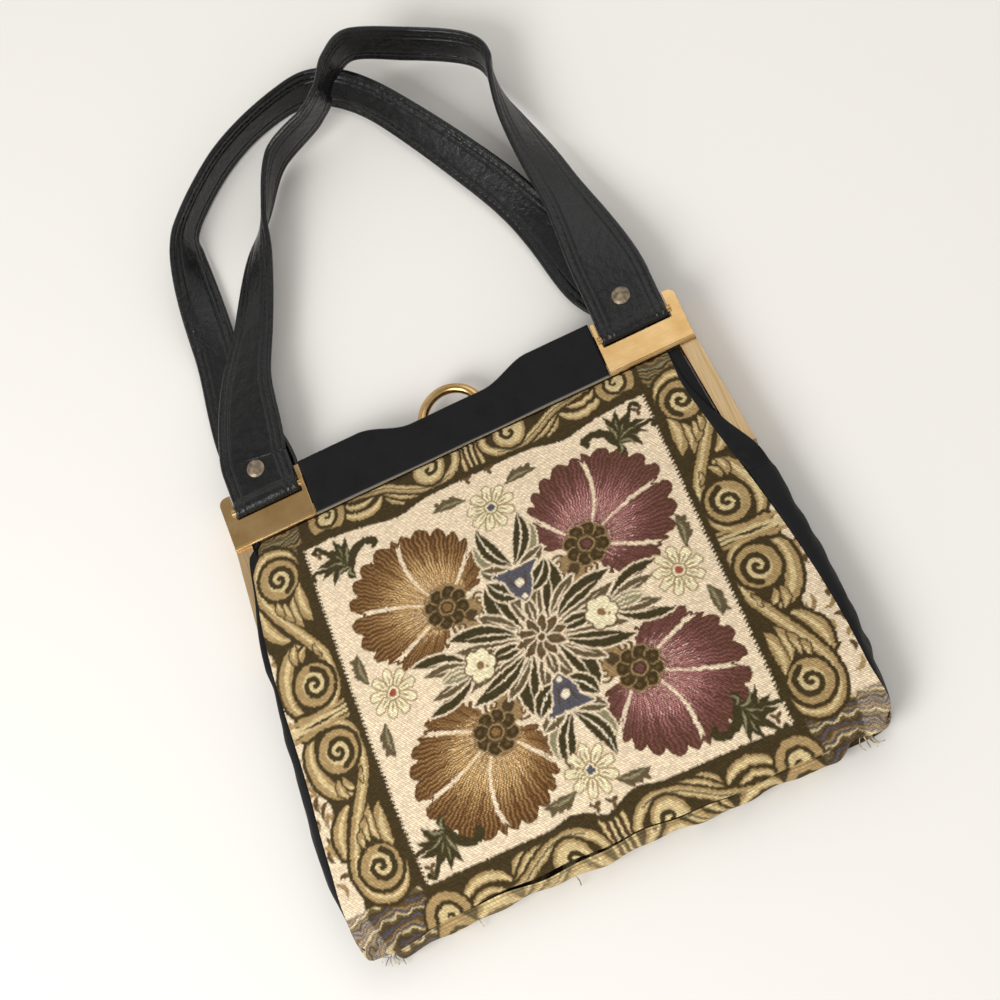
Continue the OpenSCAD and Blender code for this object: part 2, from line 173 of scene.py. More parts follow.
# %% Brushed gilt for the frame
# Brushed brass plate: fine lengthwise lines that spread the reflections sideways.
brushed_gilt, tree, surface = material("brushed_gilt_brass")
coords = add(tree, "TexCoord")
grain_mm, run_mm = 0.45, 30
lines = add(tree, "Mapping", {"Scale": (1000 / grain_mm, 1000 / run_mm, 1000 / grain_mm)},
            {"Vector": (coords, "Object")})
grain = add(tree, "TexNoise", {"Scale": 1.0, "Detail": 4.0, "Roughness": 0.6}, {"Vector": (lines, "Vector")})
tint = add(tree, "ValToRGB", links={"Fac": (grain, "Fac")}, stops=((0.3, "#B8976A"), (0.72, "#E2C79C")))
dull = add(tree, "MapRange", {"To Min": 0.28, "To Max": 0.5}, {"Value": (grain, "Fac")})
edge = add(tree, "Bevel", {"Radius": 0.0005}, samples=4)
dents = add(tree, "Bump", {"Strength": 0.12, "Distance": 0.0002},
            {"Height": (grain, "Fac"), "Normal": (edge, "Normal")})
wire(surface, {"Metallic": 1.0},
     {"Base Color": (tint, "Color"), "Roughness": (dull, "Result"), "Normal": (dents, "Normal")})
print(brushed_gilt.name, "grain", grain_mm, "mm by", run_mm, "mm")

# %% Polished gilt for the plates and the clasp
# Polished brass plate: mirror-like, with hairline scratches and the smudges of handling.
polished_gilt, tree, surface = material("polished_gilt_brass")
coords = add(tree, "TexCoord")
smudge_mm, scratch_mm = 14, (6.25, 0.77, 2.5)
scratch_lines = add(tree, "Mapping", {"Scale": [1000 / mm for mm in scratch_mm],
                                      "Rotation": (0, 0, math.radians(12))}, {"Vector": (coords, "Object")})
scratches = add(tree, "TexNoise", {"Scale": 1.0, "Detail": 3.0}, {"Vector": (scratch_lines, "Vector")})
smudges = add(tree, "TexNoise", {"Scale": 1000 / smudge_mm, "Detail": 4.0}, {"Vector": (coords, "Object")})
tint = add(tree, "ValToRGB", links={"Fac": (smudges, "Fac")}, stops=((0.3, "#C29C62"), (0.7, "#DCB985")))
worn = add(tree, "Math", {1: 0.45}, {0: (scratches, "Fac")}, operation="MULTIPLY")
mixed = add(tree, "Math", links={0: (worn, "Value"), 1: (smudges, "Fac")}, operation="MULTIPLY")
dull = add(tree, "MapRange", {"From Min": 0.05, "From Max": 0.2, "To Min": 0.15, "To Max": 0.25},
           {"Value": (mixed, "Value")})
edge = add(tree, "Bevel", {"Radius": 0.0006}, samples=4)
dents = add(tree, "Bump", {"Strength": 0.05, "Distance": 0.0002},
            {"Height": (smudges, "Fac"), "Normal": (edge, "Normal")})
wire(surface, {"Metallic": 1.0},
     {"Base Color": (tint, "Color"), "Roughness": (dull, "Result"), "Normal": (dents, "Normal")})
print(polished_gilt.name, "smudges", smudge_mm, "mm, scratches", scratch_mm[1], "mm apart")

# %% Aged brass for the rivets
# Aged brass: the lacquer has gone brown in patches, so it is dull and uneven.
aged_brass, tree, surface = material("aged_rivet_brass")
coords = add(tree, "TexCoord")
patch_mm = 2.5
patches = add(tree, "TexNoise", {"Scale": 1000 / patch_mm, "Detail": 5.0}, {"Vector": (coords, "Object")})
tint = add(tree, "ValToRGB", links={"Fac": (patches, "Fac")}, stops=((0.35, "#665A4C"), (0.68, "#A09079")))
edge = add(tree, "Bevel", {"Radius": 0.0004}, samples=4)
dents = add(tree, "Bump", {"Strength": 0.25, "Distance": 0.0002},
            {"Height": (patches, "Fac"), "Normal": (edge, "Normal")})
wire(surface, {"Metallic": 0.7, "Roughness": 0.5},
     {"Base Color": (tint, "Color"), "Normal": (dents, "Normal")})
print(aged_brass.name, "patches", patch_mm, "mm")

# %% Put the metals on the CAD nodes
finishes = {
    brushed_gilt: ["back_frame", "front_frame", "left_hinge_rivet", "right_hinge_rivet"],
    polished_gilt: ["front_left_plate", "front_right_plate", "back_left_plate", "back_right_plate",
                    "clasp_knuckle", "clasp_ring", "clasp_catch"],
    aged_brass: ["front_left_rivet", "front_right_rivet", "back_left_rivet", "back_right_rivet"],
}
for finish, names in finishes.items():
    for name in names:
        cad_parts[name].data.materials.clear()
        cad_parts[name].data.materials.append(finish)
    print(finish.name, "on", len(names), "nodes")

# %% [markdown]
# ## Leathers and lining cloth
# Black cowhide is never one flat black. The straps are smooth and waxed, so they shine
# where they bend; the collars and gussets are duller with a fine pebble. Both get a Voronoi
# grain at its real size and a slow noise that varies the shine. The lining is a plain
# brown-grey cotton twill.

# %% Strap leather
# Waxed strap leather: smooth black with a high shine, broken by fine creases.
strap_leather, tree, surface = material("waxed_black_strap_leather")
coords = add(tree, "TexCoord")
pebble_mm, crease_mm = 0.8, 4.5
pebble = add(tree, "TexVoronoi", {"Scale": 1000 / pebble_mm}, {"Vector": (coords, "Object")})
crease = add(tree, "TexNoise", {"Scale": 1000 / crease_mm, "Detail": 6.0, "Roughness": 0.62},
             {"Vector": (coords, "Object")})
thread = add(tree, "Attribute", attribute_name="thread")
tint = add(tree, "ValToRGB", links={"Fac": (crease, "Fac")}, stops=((0.35, "#040405"), (0.75, "#0E0E0F")))
sewn = add(tree, "Mix", {7: rgba("#1C1B1A")}, {0: (thread, "Fac"), 6: (tint, "Color")}, data_type="RGBA")
dull = add(tree, "MapRange", {"From Min": 0.3, "From Max": 0.7, "To Min": 0.12, "To Max": 0.34},
           {"Value": (crease, "Fac")})
grain = add(tree, "Bump", {"Strength": 0.16, "Distance": 0.0003}, {"Height": (pebble, "Distance")})
folds = add(tree, "Bump", {"Strength": 0.6, "Distance": 0.0012},
            {"Height": (crease, "Fac"), "Normal": (grain, "Normal")})
wire(surface, {"Specular IOR Level": 0.42},
     {"Base Color": (sewn, 2), "Roughness": (dull, "Result"), "Normal": (folds, "Normal")})
print(strap_leather.name, "pebble", pebble_mm, "mm, creases", crease_mm, "mm")

# %% Body leather
# Body leather: the same hide left duller, with a raw grey line where a collar was cut.
body_leather, tree, surface = material("dull_black_body_leather")
coords = add(tree, "TexCoord")
pebble_mm, crease_mm = 0.9, 9
pebble = add(tree, "TexVoronoi", {"Scale": 1000 / pebble_mm}, {"Vector": (coords, "Object")})
crease = add(tree, "TexNoise", {"Scale": 1000 / crease_mm, "Detail": 7.0, "Roughness": 0.65},
             {"Vector": (coords, "Object")})
tint = add(tree, "ValToRGB", links={"Fac": (crease, "Fac")}, stops=((0.3, "#08080A"), (0.8, "#151516")))
raw = add(tree, "Attribute", attribute_name="raw_edge")
cut = add(tree, "Mix", {7: rgba("#9A958D")}, {0: (raw, "Fac"), 6: (tint, "Color")}, data_type="RGBA")
dull = add(tree, "MapRange", {"From Min": 0.3, "From Max": 0.7, "To Min": 0.48, "To Max": 0.7},
           {"Value": (crease, "Fac")})
grain = add(tree, "Bump", {"Strength": 0.22, "Distance": 0.0003}, {"Height": (pebble, "Distance")})
folds = add(tree, "Bump", {"Strength": 0.3, "Distance": 0.001},
            {"Height": (crease, "Fac"), "Normal": (grain, "Normal")})
wire(surface, {"Specular IOR Level": 0.2},
     {"Base Color": (cut, 2), "Roughness": (dull, "Result"), "Normal": (folds, "Normal")})
print(body_leather.name, "pebble", pebble_mm, "mm, creases", crease_mm, "mm")

# %% Lining twill
# Cotton twill lining: matt diagonal ribs, drawn coarser than the real millimetre so that they show.
lining_twill, tree, surface = material("cotton_twill_lining")
coords = add(tree, "TexCoord")
rib_mm = 1.4
ribs = add(tree, "TexWave", {"Scale": 0.314 / (rib_mm / 1000), "Distortion": 0.4, "Detail": 1.0},
           {"Vector": (coords, "Object")}, bands_direction="DIAGONAL")
tint = add(tree, "ValToRGB", links={"Fac": (ribs, "Fac")}, stops=((0, "#5F5344"), (1, "#8A7B67")))
weave = add(tree, "Bump", {"Strength": 0.3, "Distance": 0.0003}, {"Height": (ribs, "Fac")})
wire(surface, {"Roughness": 0.9, "Sheen Weight": 0.2},
     {"Base Color": (tint, "Color"), "Normal": (weave, "Normal")})
print(lining_twill.name, "ribs", rib_mm, "mm")

# %% [markdown]
# ## The body's shape
# The body is a bag sewn from a crowned front, a flat back and two side gussets. Its shape is
# a handful of curves along the drop t, from 0 at the frame to 1 at the bottom edge: how wide
# the front is, how high its side seam and its crown lie, how far a gusset swells. They are
# the curves of the CAD solids, worked in millimetres, so the cloth lies where the solids are.

# %% Curves of the body
rest_y, body_height, frame_face = 107.0, 213.0, 19.5
corner_radius, arm_drop = 14, 66


def soft(q):
    c = np.clip(q, 0, 1)
    return c * c * (3 - 2 * c)


def corner_cut(t):
    """How much the round bottom corner takes off the width."""
    c = np.clip(1 - (1 - t) * body_height / corner_radius, 0, 1)
    return corner_radius * (1 - np.sqrt(1 - c * c))


def side(t):
    swing = np.sin(np.pi / 2 * np.clip(t / 0.87, 0, 1)) ** 1.365
    return 112.5 + 25 * swing - corner_cut(t)


def seam(t):
    return frame_face - 0.9 + 5.5 * soft(t / 0.5) - 7 * soft((t - 0.85) / 0.15)


def crown(t):
    rise = frame_face + 23.5 * np.sin(np.radians(150 * np.clip(t, 0, 0.6))) ** 0.9
    fall = 43 - 22.9 * np.clip((t - 0.6) / 0.4, 0, 1) ** 2.6
    return np.where(t < 0.6, rise, fall)


def front_height(s, t):
    return seam(t) + (crown(t) - seam(t)) * (1 - np.abs(s) ** 2.2)


def base(t):
    return 4.7 * (1 - soft(t / 0.12))


def drop(t):
    return rest_y - 0.4 - t * (body_height - 0.4)


print("front width", [round(float(2 * side(np.array(t)))) for t in (0.0, 0.3, 0.87, 1.0)], "mm")

# %% [markdown]
# ## A sheet from a grid
# Every sheet starts as Blender's own grid primitive. Its flat coordinates run from -1 to 1
# both ways, and code then moves each point to its place on the curved sheet, as a sculptor
# would by hand. The Solidify modifier gives leather its thickness afterwards.

# %% Grid helpers
def flat_grid(name, columns, rows):
    bpy.ops.object.select_all(action="DESELECT")
    bpy.ops.mesh.primitive_grid_add(x_subdivisions=columns, y_subdivisions=rows, size=2)
    piece = bpy.context.object
    piece.name = piece.data.name = name
    flat = np.zeros(len(piece.data.vertices) * 3)
    piece.data.vertices.foreach_get("co", flat)
    flat = flat.reshape(-1, 3)
    return piece, flat[:, 0].copy(), flat[:, 1].copy()


def move_points(piece, x, y, z):
    points = np.stack(np.broadcast_arrays(x, y, z), axis=1) / 1000
    piece.data.vertices.foreach_set("co", points.astype(np.float32).ravel())
    piece.data.update()
    bpy.ops.object.shade_smooth()


def thicken(piece, thickness):
    bpy.ops.object.modifier_add(type="SOLIDIFY")
    piece.modifiers[-1].thickness = thickness / 1000
    piece.modifiers[-1].offset = -1
    bpy.ops.object.modifier_apply(modifier=piece.modifiers[-1].name)


def face_outwards(piece, outwards):
    normals = np.zeros(len(piece.data.polygons) * 3)
    piece.data.polygons.foreach_get("normal", normals)
    if (normals.reshape(-1, 3) @ np.array(outwards)).mean() < 0:
        bpy.ops.object.mode_set(mode="EDIT")
        bpy.ops.mesh.select_all(action="SELECT")
        bpy.ops.mesh.flip_normals()
        bpy.ops.object.mode_set(mode="OBJECT")


def weld(cap_ends=False):
    """Merge the points where a rolled grid meets itself, close its ends, and turn its faces out."""
    bpy.ops.object.mode_set(mode="EDIT")
    bpy.ops.mesh.select_all(action="SELECT")
    bpy.ops.mesh.remove_doubles(threshold=0.000002)
    if cap_ends:
        bpy.ops.mesh.select_all(action="DESELECT")
        bpy.ops.mesh.select_non_manifold()
        bpy.ops.mesh.edge_face_add()
        bpy.ops.mesh.select_all(action="SELECT")
    bpy.ops.mesh.normals_make_consistent(inside=False)
    bpy.ops.object.mode_set(mode="OBJECT")


def cloth_area(piece):
    return sum(f.area for f in piece.data.polygons)


def ripples(a, b, seed):
    waves = np.random.default_rng(seed).uniform(0.4, 1.6, (5, 3))
    total = 0
    for i, (fa, fb, phase) in enumerate(waves):
        total = total + np.sin((fa * a * (1 - 2 * (i % 2)) + fb * b) * 2 * np.pi + 9 * phase) / (1 + i)
    return total / 2.3


print("ripples run from", round(float(ripples(np.linspace(0, 9, 99), 0.0, 1).min()), 2))

# %% [markdown]
# ## Drawing on cloth
# The tapestry is a traditional floral weave: four fan flowers around a leaf star, bells,
# daisies and sprigs between them, and a scroll border. It could be painted as an image, but
# a part with no image files is easier to share, so each motif is drawn by formula. A drawing
# step works out how far each point of the cloth lies from the motif's edge, and the point
# takes the motif's yarn where that distance is negative. Most motifs are stitches: curved
# strokes whose width swells and tapers. A mirrored view of the cloth lets one drawing serve
# both sides.

# %% Yarn painter
yarn = {
    "cream": "#E9D5B7", "ivory": "#EADBC0", "olive": "#433720", "moss": "#63553C", "green": "#413921",
    "gold": "#AB9063", "pale_gold": "#D3BE8E", "tan": "#9A7F57", "brown": "#604A30", "bark": "#51402B",
    "ochre": "#88663F", "ochre_light": "#D6B078", "ochre_dark": "#5C3E22",
    "wine": "#6D4542", "wine_light": "#B97E7B", "wine_dark": "#5C3C2C",
    "slate": "#57555E", "sage": "#8C8767", "daisy": "#EDE2BC", "rust": "#9C5140",
}
yarn = {name: np.array(colour(value)) for name, value in yarn.items()}


def smooth_line(points, steps=5):
    points = np.array([points[0], *points, points[-1]], float)
    line = []
    for a, b, c, d in zip(points, points[1:], points[2:], points[3:]):
        for q in np.arange(steps) / steps:
            line.append(0.5 * (2 * b + (c - a) * q + (2 * a - 5 * b + 4 * c - d) * q * q
                               + (3 * b - a - 3 * c + d) * q ** 3))
    return np.array([*line, points[-1]])


class Cloth:
    """The points of a cloth, in millimetres, and the yarn colour at each."""

    def __init__(self, x, y, tones):
        self.x, self.y, self.tones = x, y, tones

    def seen_from(self, x, y, across=1, up=1):
        """The same cloth from another origin, mirrored where across or up is -1."""
        return Cloth(across * (self.x - x), up * (self.y - y), self.tones)

    def fill(self, distance, name, near=slice(None), blur=0.7):
        share = np.clip(0.5 - distance / blur, 0, 1)[:, None]
        tone = yarn[name] if isinstance(name, str) else name
        self.tones[near] = self.tones[near] * (1 - share) + tone * share

    def within(self, low, high):
        across = (self.x > low[0]) & (self.x < high[0])
        return np.flatnonzero(across & (self.y > low[1]) & (self.y < high[1]))

    def dot(self, x, y, radius, name):
        reach = radius + 1
        near = self.within((x - reach, y - reach), (x + reach, y + reach))
        self.fill(np.hypot(self.x[near] - x, self.y[near] - y) - radius, name, near)

    def stroke(self, points, name, rim=None, rim_width=1.1):
        """A curved stitch through (x, y, width) points, with an outline where rim names a yarn."""
        line = smooth_line(points)
        reach = line[:, 2].max() / 2 + 2 + rim_width
        near = self.within(line[:, :2].min(axis=0) - reach, line[:, :2].max(axis=0) + reach)
        x, y = self.x[near], self.y[near]
        distance = np.full(len(near), 99.0)
        for a, b in zip(line[:-1], line[1:]):
            dx, dy, dw = b - a
            q = np.clip(((x - a[0]) * dx + (y - a[1]) * dy) / max(dx * dx + dy * dy, 1e-6), 0, 1)
            off = np.hypot(x - a[0] - q * dx, y - a[1] - q * dy)
            distance = np.minimum(distance, off - (a[2] + q * dw) / 2)
        if rim:
            self.fill(distance - rim_width, rim, near)
        self.fill(distance, name, near)

    def leaf(self, x0, y0, x1, y1, width, name, rim=None, bend=0.0, rim_width=1.1):
        """A pointed leaf from its foot to its tip, bent to one side by a share of its length."""
        dx, dy = x1 - x0, y1 - y0
        row = [(0, 0.15), (0.25, 0.75), (0.5, 1.0), (0.75, 0.7), (1, 0.05)]
        side = [bend * 4 * q * (1 - q) for q, w in row]
        self.stroke([(x0 + q * dx - b * dy, y0 + q * dy + b * dx, w * width) for (q, w), b in zip(row, side)],
                    name, rim, rim_width)

    def curl(self, x, y, radius, turns, start, way, width, name):
        """A spiral line that winds in from the radius to the middle."""
        share = np.linspace(0, 1, 14)
        turn = np.radians(start) + way * turns * 2 * np.pi * share
        reach = radius * (1 - share) + 0.6 * share
        points = np.c_[x + reach * np.cos(turn), y + reach * np.sin(turn), width * (1 - 0.25 * share)]
        self.stroke(points, name)


print(len(yarn), "yarns")

# %% [markdown]
# ## Scroll border
# Around the field runs a border of gold scrolls on dark olive. Down each side two scrolls
# meet at a knot half way, and along the top and bottom they meet in the middle, so half a
# side and half an end are enough. A scroll is a disc with a spiral line and a broad band that
# leaves it in an S. Wavy stripes fill the corners, and past the border the cloth is cream
# again, with loose brown sprigs.

# %% Draw the border
def draw_column(cloth):
    """Half a side border: y runs up from the knot, x outwards from the middle of the bag."""
    scroll = [(121, 4, 4), (112, 2.5, 4), (103, 4.5, 4.5), (97.5, 11, 5), (96, 20, 5), (98, 31, 5.5),
              (104, 42, 5.5), (110, 52, 5.5), (116, 63, 5.5), (120, 75, 5.5), (117.5, 87, 5), (109, 92, 5),
              (100, 89, 4), (96.5, 81, 3)]
    wing = [(109, 40, 2), (115, 37, 6), (121, 28, 8), (123, 15, 6), (119, 6, 3)]
    cap = [(123, 66, 3), (122, 56, 7), (117, 48, 5), (113, 45, 2)]
    for line in (wing, cap, scroll):
        cloth.stroke(line, "gold", "olive", 2.0)
        cloth.stroke([(x - 0.4, y, w * 0.34) for x, y, w in line], "pale_gold")
    for x, y, radius in ((107.5, 18, 10.8), (107.5, 77.5, 10.5)):
        cloth.dot(x, y, radius + 2.2, "olive")
        cloth.dot(x, y, radius, "gold")
        cloth.dot(x, y, radius * 0.62, "pale_gold")
    cloth.curl(107.5, 18, 8.2, 1.5, 100, 1, 3.2, "olive")
    cloth.curl(107.5, 77.5, 8.0, 1.45, 250, -1, 3.2, "olive")
    leaves = [(98, 70, 97, 49, 7.5), (103.5, 65, 102.5, 48, 5), (108.5, 64, 106.5, 53, 4.5),
              (112, 66, 110.5, 58, 3.5), (111, 41, 113, 31, 4.5), (106, 38, 110, 31, 3.5),
              (101, 37, 99, 30, 2)]
    for x0, y0, x1, y1, width in leaves:
        cloth.leaf(x0, y0, x1, y1, width, "gold", "olive", 0.12, 0.8)
        cloth.leaf(x0, y0, x1, y1 + 3, width * 0.36, "pale_gold", bend=0.12)
    for k in (0, 1):
        cloth.stroke([(96, 1.2 + 2.7 * k, 1.6), (112, 1.0 + 2.2 * k, 1.6), (130, 1.2 + 3.4 * k, 2.4)],
                     ("pale_gold", "gold")[k])


def draw_band(cloth):
    """Half of the top or bottom border: x runs outwards from its middle, y away from the field."""
    tulip = [(45, 3.5, 2), (50, 8, 5), (54, 14, 2)]
    petal = [(35, 4, 2), (44, 7, 3.2), (52, 13, 2.6), (57, 17, 1)]
    crescent = [(79, 12, 2), (75, 8.5, 4), (67, 6.8, 4.8), (60, 8.4, 4.2), (55.5, 12.5, 1.5)]
    under = [(77, 17, 1.5), (74, 14.2, 3), (67, 12.9, 3.2), (60.5, 15, 1.5)]
    stem = [(5.4, 5.5, 2.2), (5.2, 13, 2.4), (6, 24, 2.6)]
    scroll = [(9, 24, 4.5), (8.8, 14, 4.5), (15, 7, 4.5), (24, 4.8, 4.5), (33, 6.6, 4.5), (42, 11, 4.5),
              (51, 16, 4.5), (62, 18.6, 4), (74, 20, 3)]
    for line in (tulip, under, crescent, petal, stem, scroll):
        cloth.stroke(line, "gold", "olive", 1.5)
        cloth.stroke([(x, y + 0.3, w * 0.5) for x, y, w in line], "pale_gold")
    cloth.stroke([(x, y, 0.9) for x, y, w in scroll[2:]], "moss")
    cloth.stroke([(1.6, 6, 1.2), (1.8, 24, 1.6)], "pale_gold")
    for x, y, ring, core in ((25, 16, 9.6, 0), (90, 16, 11.2, 5.2)):
        cloth.dot(x, y, ring + 1.6, "olive")
        cloth.dot(x, y, ring, "gold")
        if core:
            cloth.dot(x, y, ring - 3.8, "olive")
        cloth.dot(x, y, core or ring - 1.6, "pale_gold")
    cloth.curl(25, 16, 6.4, 0.9, 80, 1, 2.8, "olive")
    cloth.curl(90, 16.5, 3.4, 0.6, 90, 1, 2.0, "olive")
    for y in (9, 13.5):
        cloth.dot(3.4, y, 1.1, "wine_dark")


# %% Draw the corners and the field
def draw_corners(cloth):
    """Rings of dull yarn fill the four corners of the border."""
    top = ("sage", "olive", "tan", "moss")
    low = ("tan", "brown", "slate", "bark", "moss", "pale_gold", "slate")
    stripe_mm = 1.15
    for across, x, y, tones in (
        (-1, -108, 5, top), (1, 109, 5, top), (-1, -112, -217, low), (1, 112, -216, low),
    ):
        view = cloth.seen_from(x, y, across)
        wobble = 0.8 * np.sin(view.x / 1.3) * np.sin(view.y / 2.9)
        ring = np.hypot(view.x / 1.9, view.y) + wobble + 0.6 * np.sin(view.x / 3.3 + view.y / 1.7)
        inside = np.maximum(-13.5 - view.x, np.abs(view.y) - 22)
        for k, tone in enumerate(tones):
            stripe = np.abs((ring - stripe_mm * k) % (stripe_mm * len(tones)) - 0.57) - 0.57
            cloth.fill(np.maximum(stripe, inside), tone, blur=1.1)


def draw_border(cloth):
    x, y = cloth.x, cloth.y
    loose = np.random.default_rng(5).uniform((124, -180, -9, -9), (139, -50, 9, 9), (130, 4))
    for k, (px, py, dx, dy) in enumerate(loose):
        flank = 1 - 2 * (k % 2)
        name = ("brown", "tan", "gold")[k % 3]
        cloth.leaf(flank * px, py, flank * px + dx * 0.8, py + dy, 2.6, name, bend=0.25)
    outer = 124.5 + 6 * np.clip((y + 62) / 14, 0, 1) + 1.5 * np.sin(y / 5.5)
    cloth.fill(np.maximum(np.abs(x + 2.5) - outer, y - 5), "olive", blur=1.0)
    draw_corners(cloth)
    for across, middle in ((-1, -102), (1, -104.5)):
        for up in (-1, 1):
            draw_column(cloth.seen_from(-4.5 if across < 0 else 1, middle, across, up))
    for across in (-1, 1):
        draw_band(cloth.seen_from(2, -18.8, 1.12 * across, 1.04))
        draw_band(cloth.seen_from(-2, -196.5, across, -1))


def draw_field(cloth):
    x, y = cloth.x + 1, cloth.y
    comb = 1.2 * (np.abs((y / 2.1) % 1 - 0.5) < 0.25)
    top_off, low_off = np.abs(x - 3), np.abs(x + 1)
    top = -18.2 - 3.8 * np.exp(-((top_off - 46) / 12) ** 2) + 1.8 * np.clip((top_off - 62) / 20, 0, 1)
    low = -196.5 + 2.2 * np.exp(-((low_off - 17) / 7) ** 2) - 3.5 * np.exp(-(low_off / 6) ** 2)
    thick = 3.6 + 2.5 * np.exp(-((top_off - 85) / 14) ** 2)
    cloth.fill(np.maximum(np.abs(x) - 97.5, np.maximum(y - top - thick, low - 3.6 - y)), "olive", blur=1.0)
    cloth.fill(np.maximum(np.abs(x) - 94 + comb, np.maximum(y - top, low - y)), "cream", blur=0.8)
    buds = [(-88, -22), (87, -23), (-90, -190), (87, -191), (-4, -19), (8, -19), (-6, -195), (2, -196)]
    for px, py in buds:
        for lean in (30, 150, 270):
            tip = math.radians(lean)
            cloth.leaf(px, py, px + 3.2 * math.cos(tip), py + 3.2 * math.sin(tip), 2.2, "brown")


print("border and field ready to draw")

# %% [markdown]
# ## Flowers and leaves
# A fan flower is drawn in polar coordinates around its rosette. Its radius is greatest along
# its own diagonal and shrinks to both ends, with lobes along the rim; four curved cream lines
# part its five petals; and fine stripes from the rosette to the rim imitate the yarns that
# shade it. Leaves are strokes with a cream outline and a cream rib.

# %% Draw the flowers
def draw_fan(cloth, x, y, dark, mid, light):
    """A fan flower of five petals around (x, y), opening along its own diagonal."""
    dx, dy = cloth.x - x, cloth.y - y
    r = np.hypot(dx, dy)
    near = np.flatnonzero(r < 58)
    r = r[near]
    off = (np.degrees(np.arctan2(dy[near], dx[near])) - 45 + 180) % 360 - 180
    far = (r / 45) ** 1.5
    edge = np.min([np.abs(off - a - b * far) for a, b in ((-72, 4), (-15, -8), (9, 19), (86, -3))], axis=0)
    rim = 54 - 7 * (np.abs(off) / 45) ** 1.6
    lobe = np.abs((off / 12.4 + 0.12 * np.sin(off / 11)) % 1 - 0.5) * 2
    rim = np.maximum(rim - 4.4 * lobe ** 2.2 - 4 * np.clip(1 - edge / 3.5, 0, 1), 8)
    inside = np.maximum(r - rim, (np.abs(off) - 122) * 0.5)
    cloth.fill(inside, dark, near)
    share = r / rim
    thread = np.sin(off * 2.1 + 0.9 * np.sin(r * 0.8) + 7 * np.sin(off / 17))
    zigzag = np.sin(r * 4.4 + 2.6 * np.sin(off * 1.25))
    lit = np.clip(0.6 + 0.55 * np.cos(np.radians((off - 15) * 1.5)), 0.15, 1)
    shine = np.exp(-((share - 0.46) / 0.2) ** 2) * lit
    glow = np.clip(shine * (0.65 + 0.7 * thread) + 0.15 * zigzag, 0, 1)[:, None]
    tone = yarn[mid] * (1 - glow) + yarn[light] * glow
    rim_shade = 3.0 * np.clip(share - 0.7 - 0.07 * thread, 0, 1)
    depth = np.clip(0.18 - 0.7 * thread * share ** 0.7 + rim_shade + 0.22 * zigzag, 0, 1)[:, None]
    tone = tone * (1 - depth) + yarn[dark] * depth
    cloth.fill(np.maximum(inside + 0.8, 7 - r), tone, near, 1.2)
    cleft = np.radians((1 - lobe) * 6.2) * r - 0.35
    cloth.fill(np.maximum(np.maximum(cleft, inside), 0.6 * rim - r), dark, near)
    streak = np.maximum(0.74 - thread, r - (0.46 + 0.12 * np.sin(off * 0.6)) * rim)
    broken = -0.5 - np.sin(r * 1.7 + 3 * np.sin(off * 0.9))
    pale = yarn["ivory"] * 0.75 + yarn[light] * 0.25
    cloth.fill(np.maximum(np.maximum(streak, broken), 11 - r), pale, near, 0.5)
    width = 0.4 + 0.9 * np.clip(share, 0, 1)
    cloth.fill(np.maximum(np.radians(edge) * r - width, np.maximum(r - 0.95 * rim, 12 - r)), "cream", near)
    veins = np.abs((off / 9.4 + 0.5) % 1 - 0.5) * 9.4
    cloth.fill(np.maximum(np.radians(veins) * r - 0.32, np.maximum(r - 0.5 * rim, 13 - r)), light, near)


def draw_rosette(cloth, x, y, middle):
    for k in range(8):
        a = math.radians(45 * k + 22)
        for out, radius, name in ((7.8, 4.2, "tan"), (7.8, 3.5, "olive"), (8.4, 1.1, "brown")):
            cloth.dot(x + out * math.cos(a), y + out * math.sin(a), radius, name)
    for radius, name in ((5.6, "bark"), (4.3, "tan"), (3.4, "olive"), (2.2, middle)):
        cloth.dot(x, y, radius, name)


print("fan flowers ready to draw")


# %% Draw the bouquet
def draw_quarter(cloth, tones):
    """A quarter of the bouquet: x and y run outwards from the middle of the leaf star."""
    draw_fan(cloth, 37, 35, *tones)
    cloth.stroke([(15, 15, 8), (21, 24, 13), (24, 30, 9)], "tan", "cream", 0.8)
    cloth.stroke([(22, 19, 6), (30, 23, 9), (35, 24, 6)], "tan", "cream", 0.8)
    for x, y, radius, way in ((20.5, 31.5, 4.0, 1), (18, 24.5, 3.4, -1), (21, 18, 3.4, 1), (34, 22, 4.0, -1)):
        cloth.curl(x, y, radius, 1.1, 40, way, 1.6, "brown")
        cloth.curl(x, y, radius * 0.7, 0.8, 60, way, 1.0, "cream")
    cloth.leaf(24, 22, 30, 29, 6, "bark")
    for foot, tip, width, name, bend in (
        ((36, 1), (64, 13.5), 7, "green", 0.1), ((36, 1), (60, 6.5), 6, "moss", 0.04),
        ((37, 1), (52, 1), 4.5, "sage", 0.0), ((3, 9), (7.5, 27), 6, "moss", 0.05),
        ((7, 8), (17, 35), 10, "green", -0.08), ((0, 8), (0.5, 22), 5, "moss", 0.0),
        ((9, 9), (25, 23), 6.5, "moss", 0.0), ((11, 3), (41, 11), 7.5, "moss", -0.05),
        ((11, 6), (42, 18), 8.5, "green", 0.06), ((10, 0), (27, 0), 7, "green", 0.0),
    ):
        cloth.leaf(*foot, *tip, width, name, "cream", bend, 1.0)
        middle = (foot[0] + 0.75 * (tip[0] - foot[0]), foot[1] + 0.75 * (tip[1] - foot[1]))
        cloth.leaf(*foot, *middle, 1.0, "cream", bend=bend)
    draw_rosette(cloth, 37, 35, tones[1])


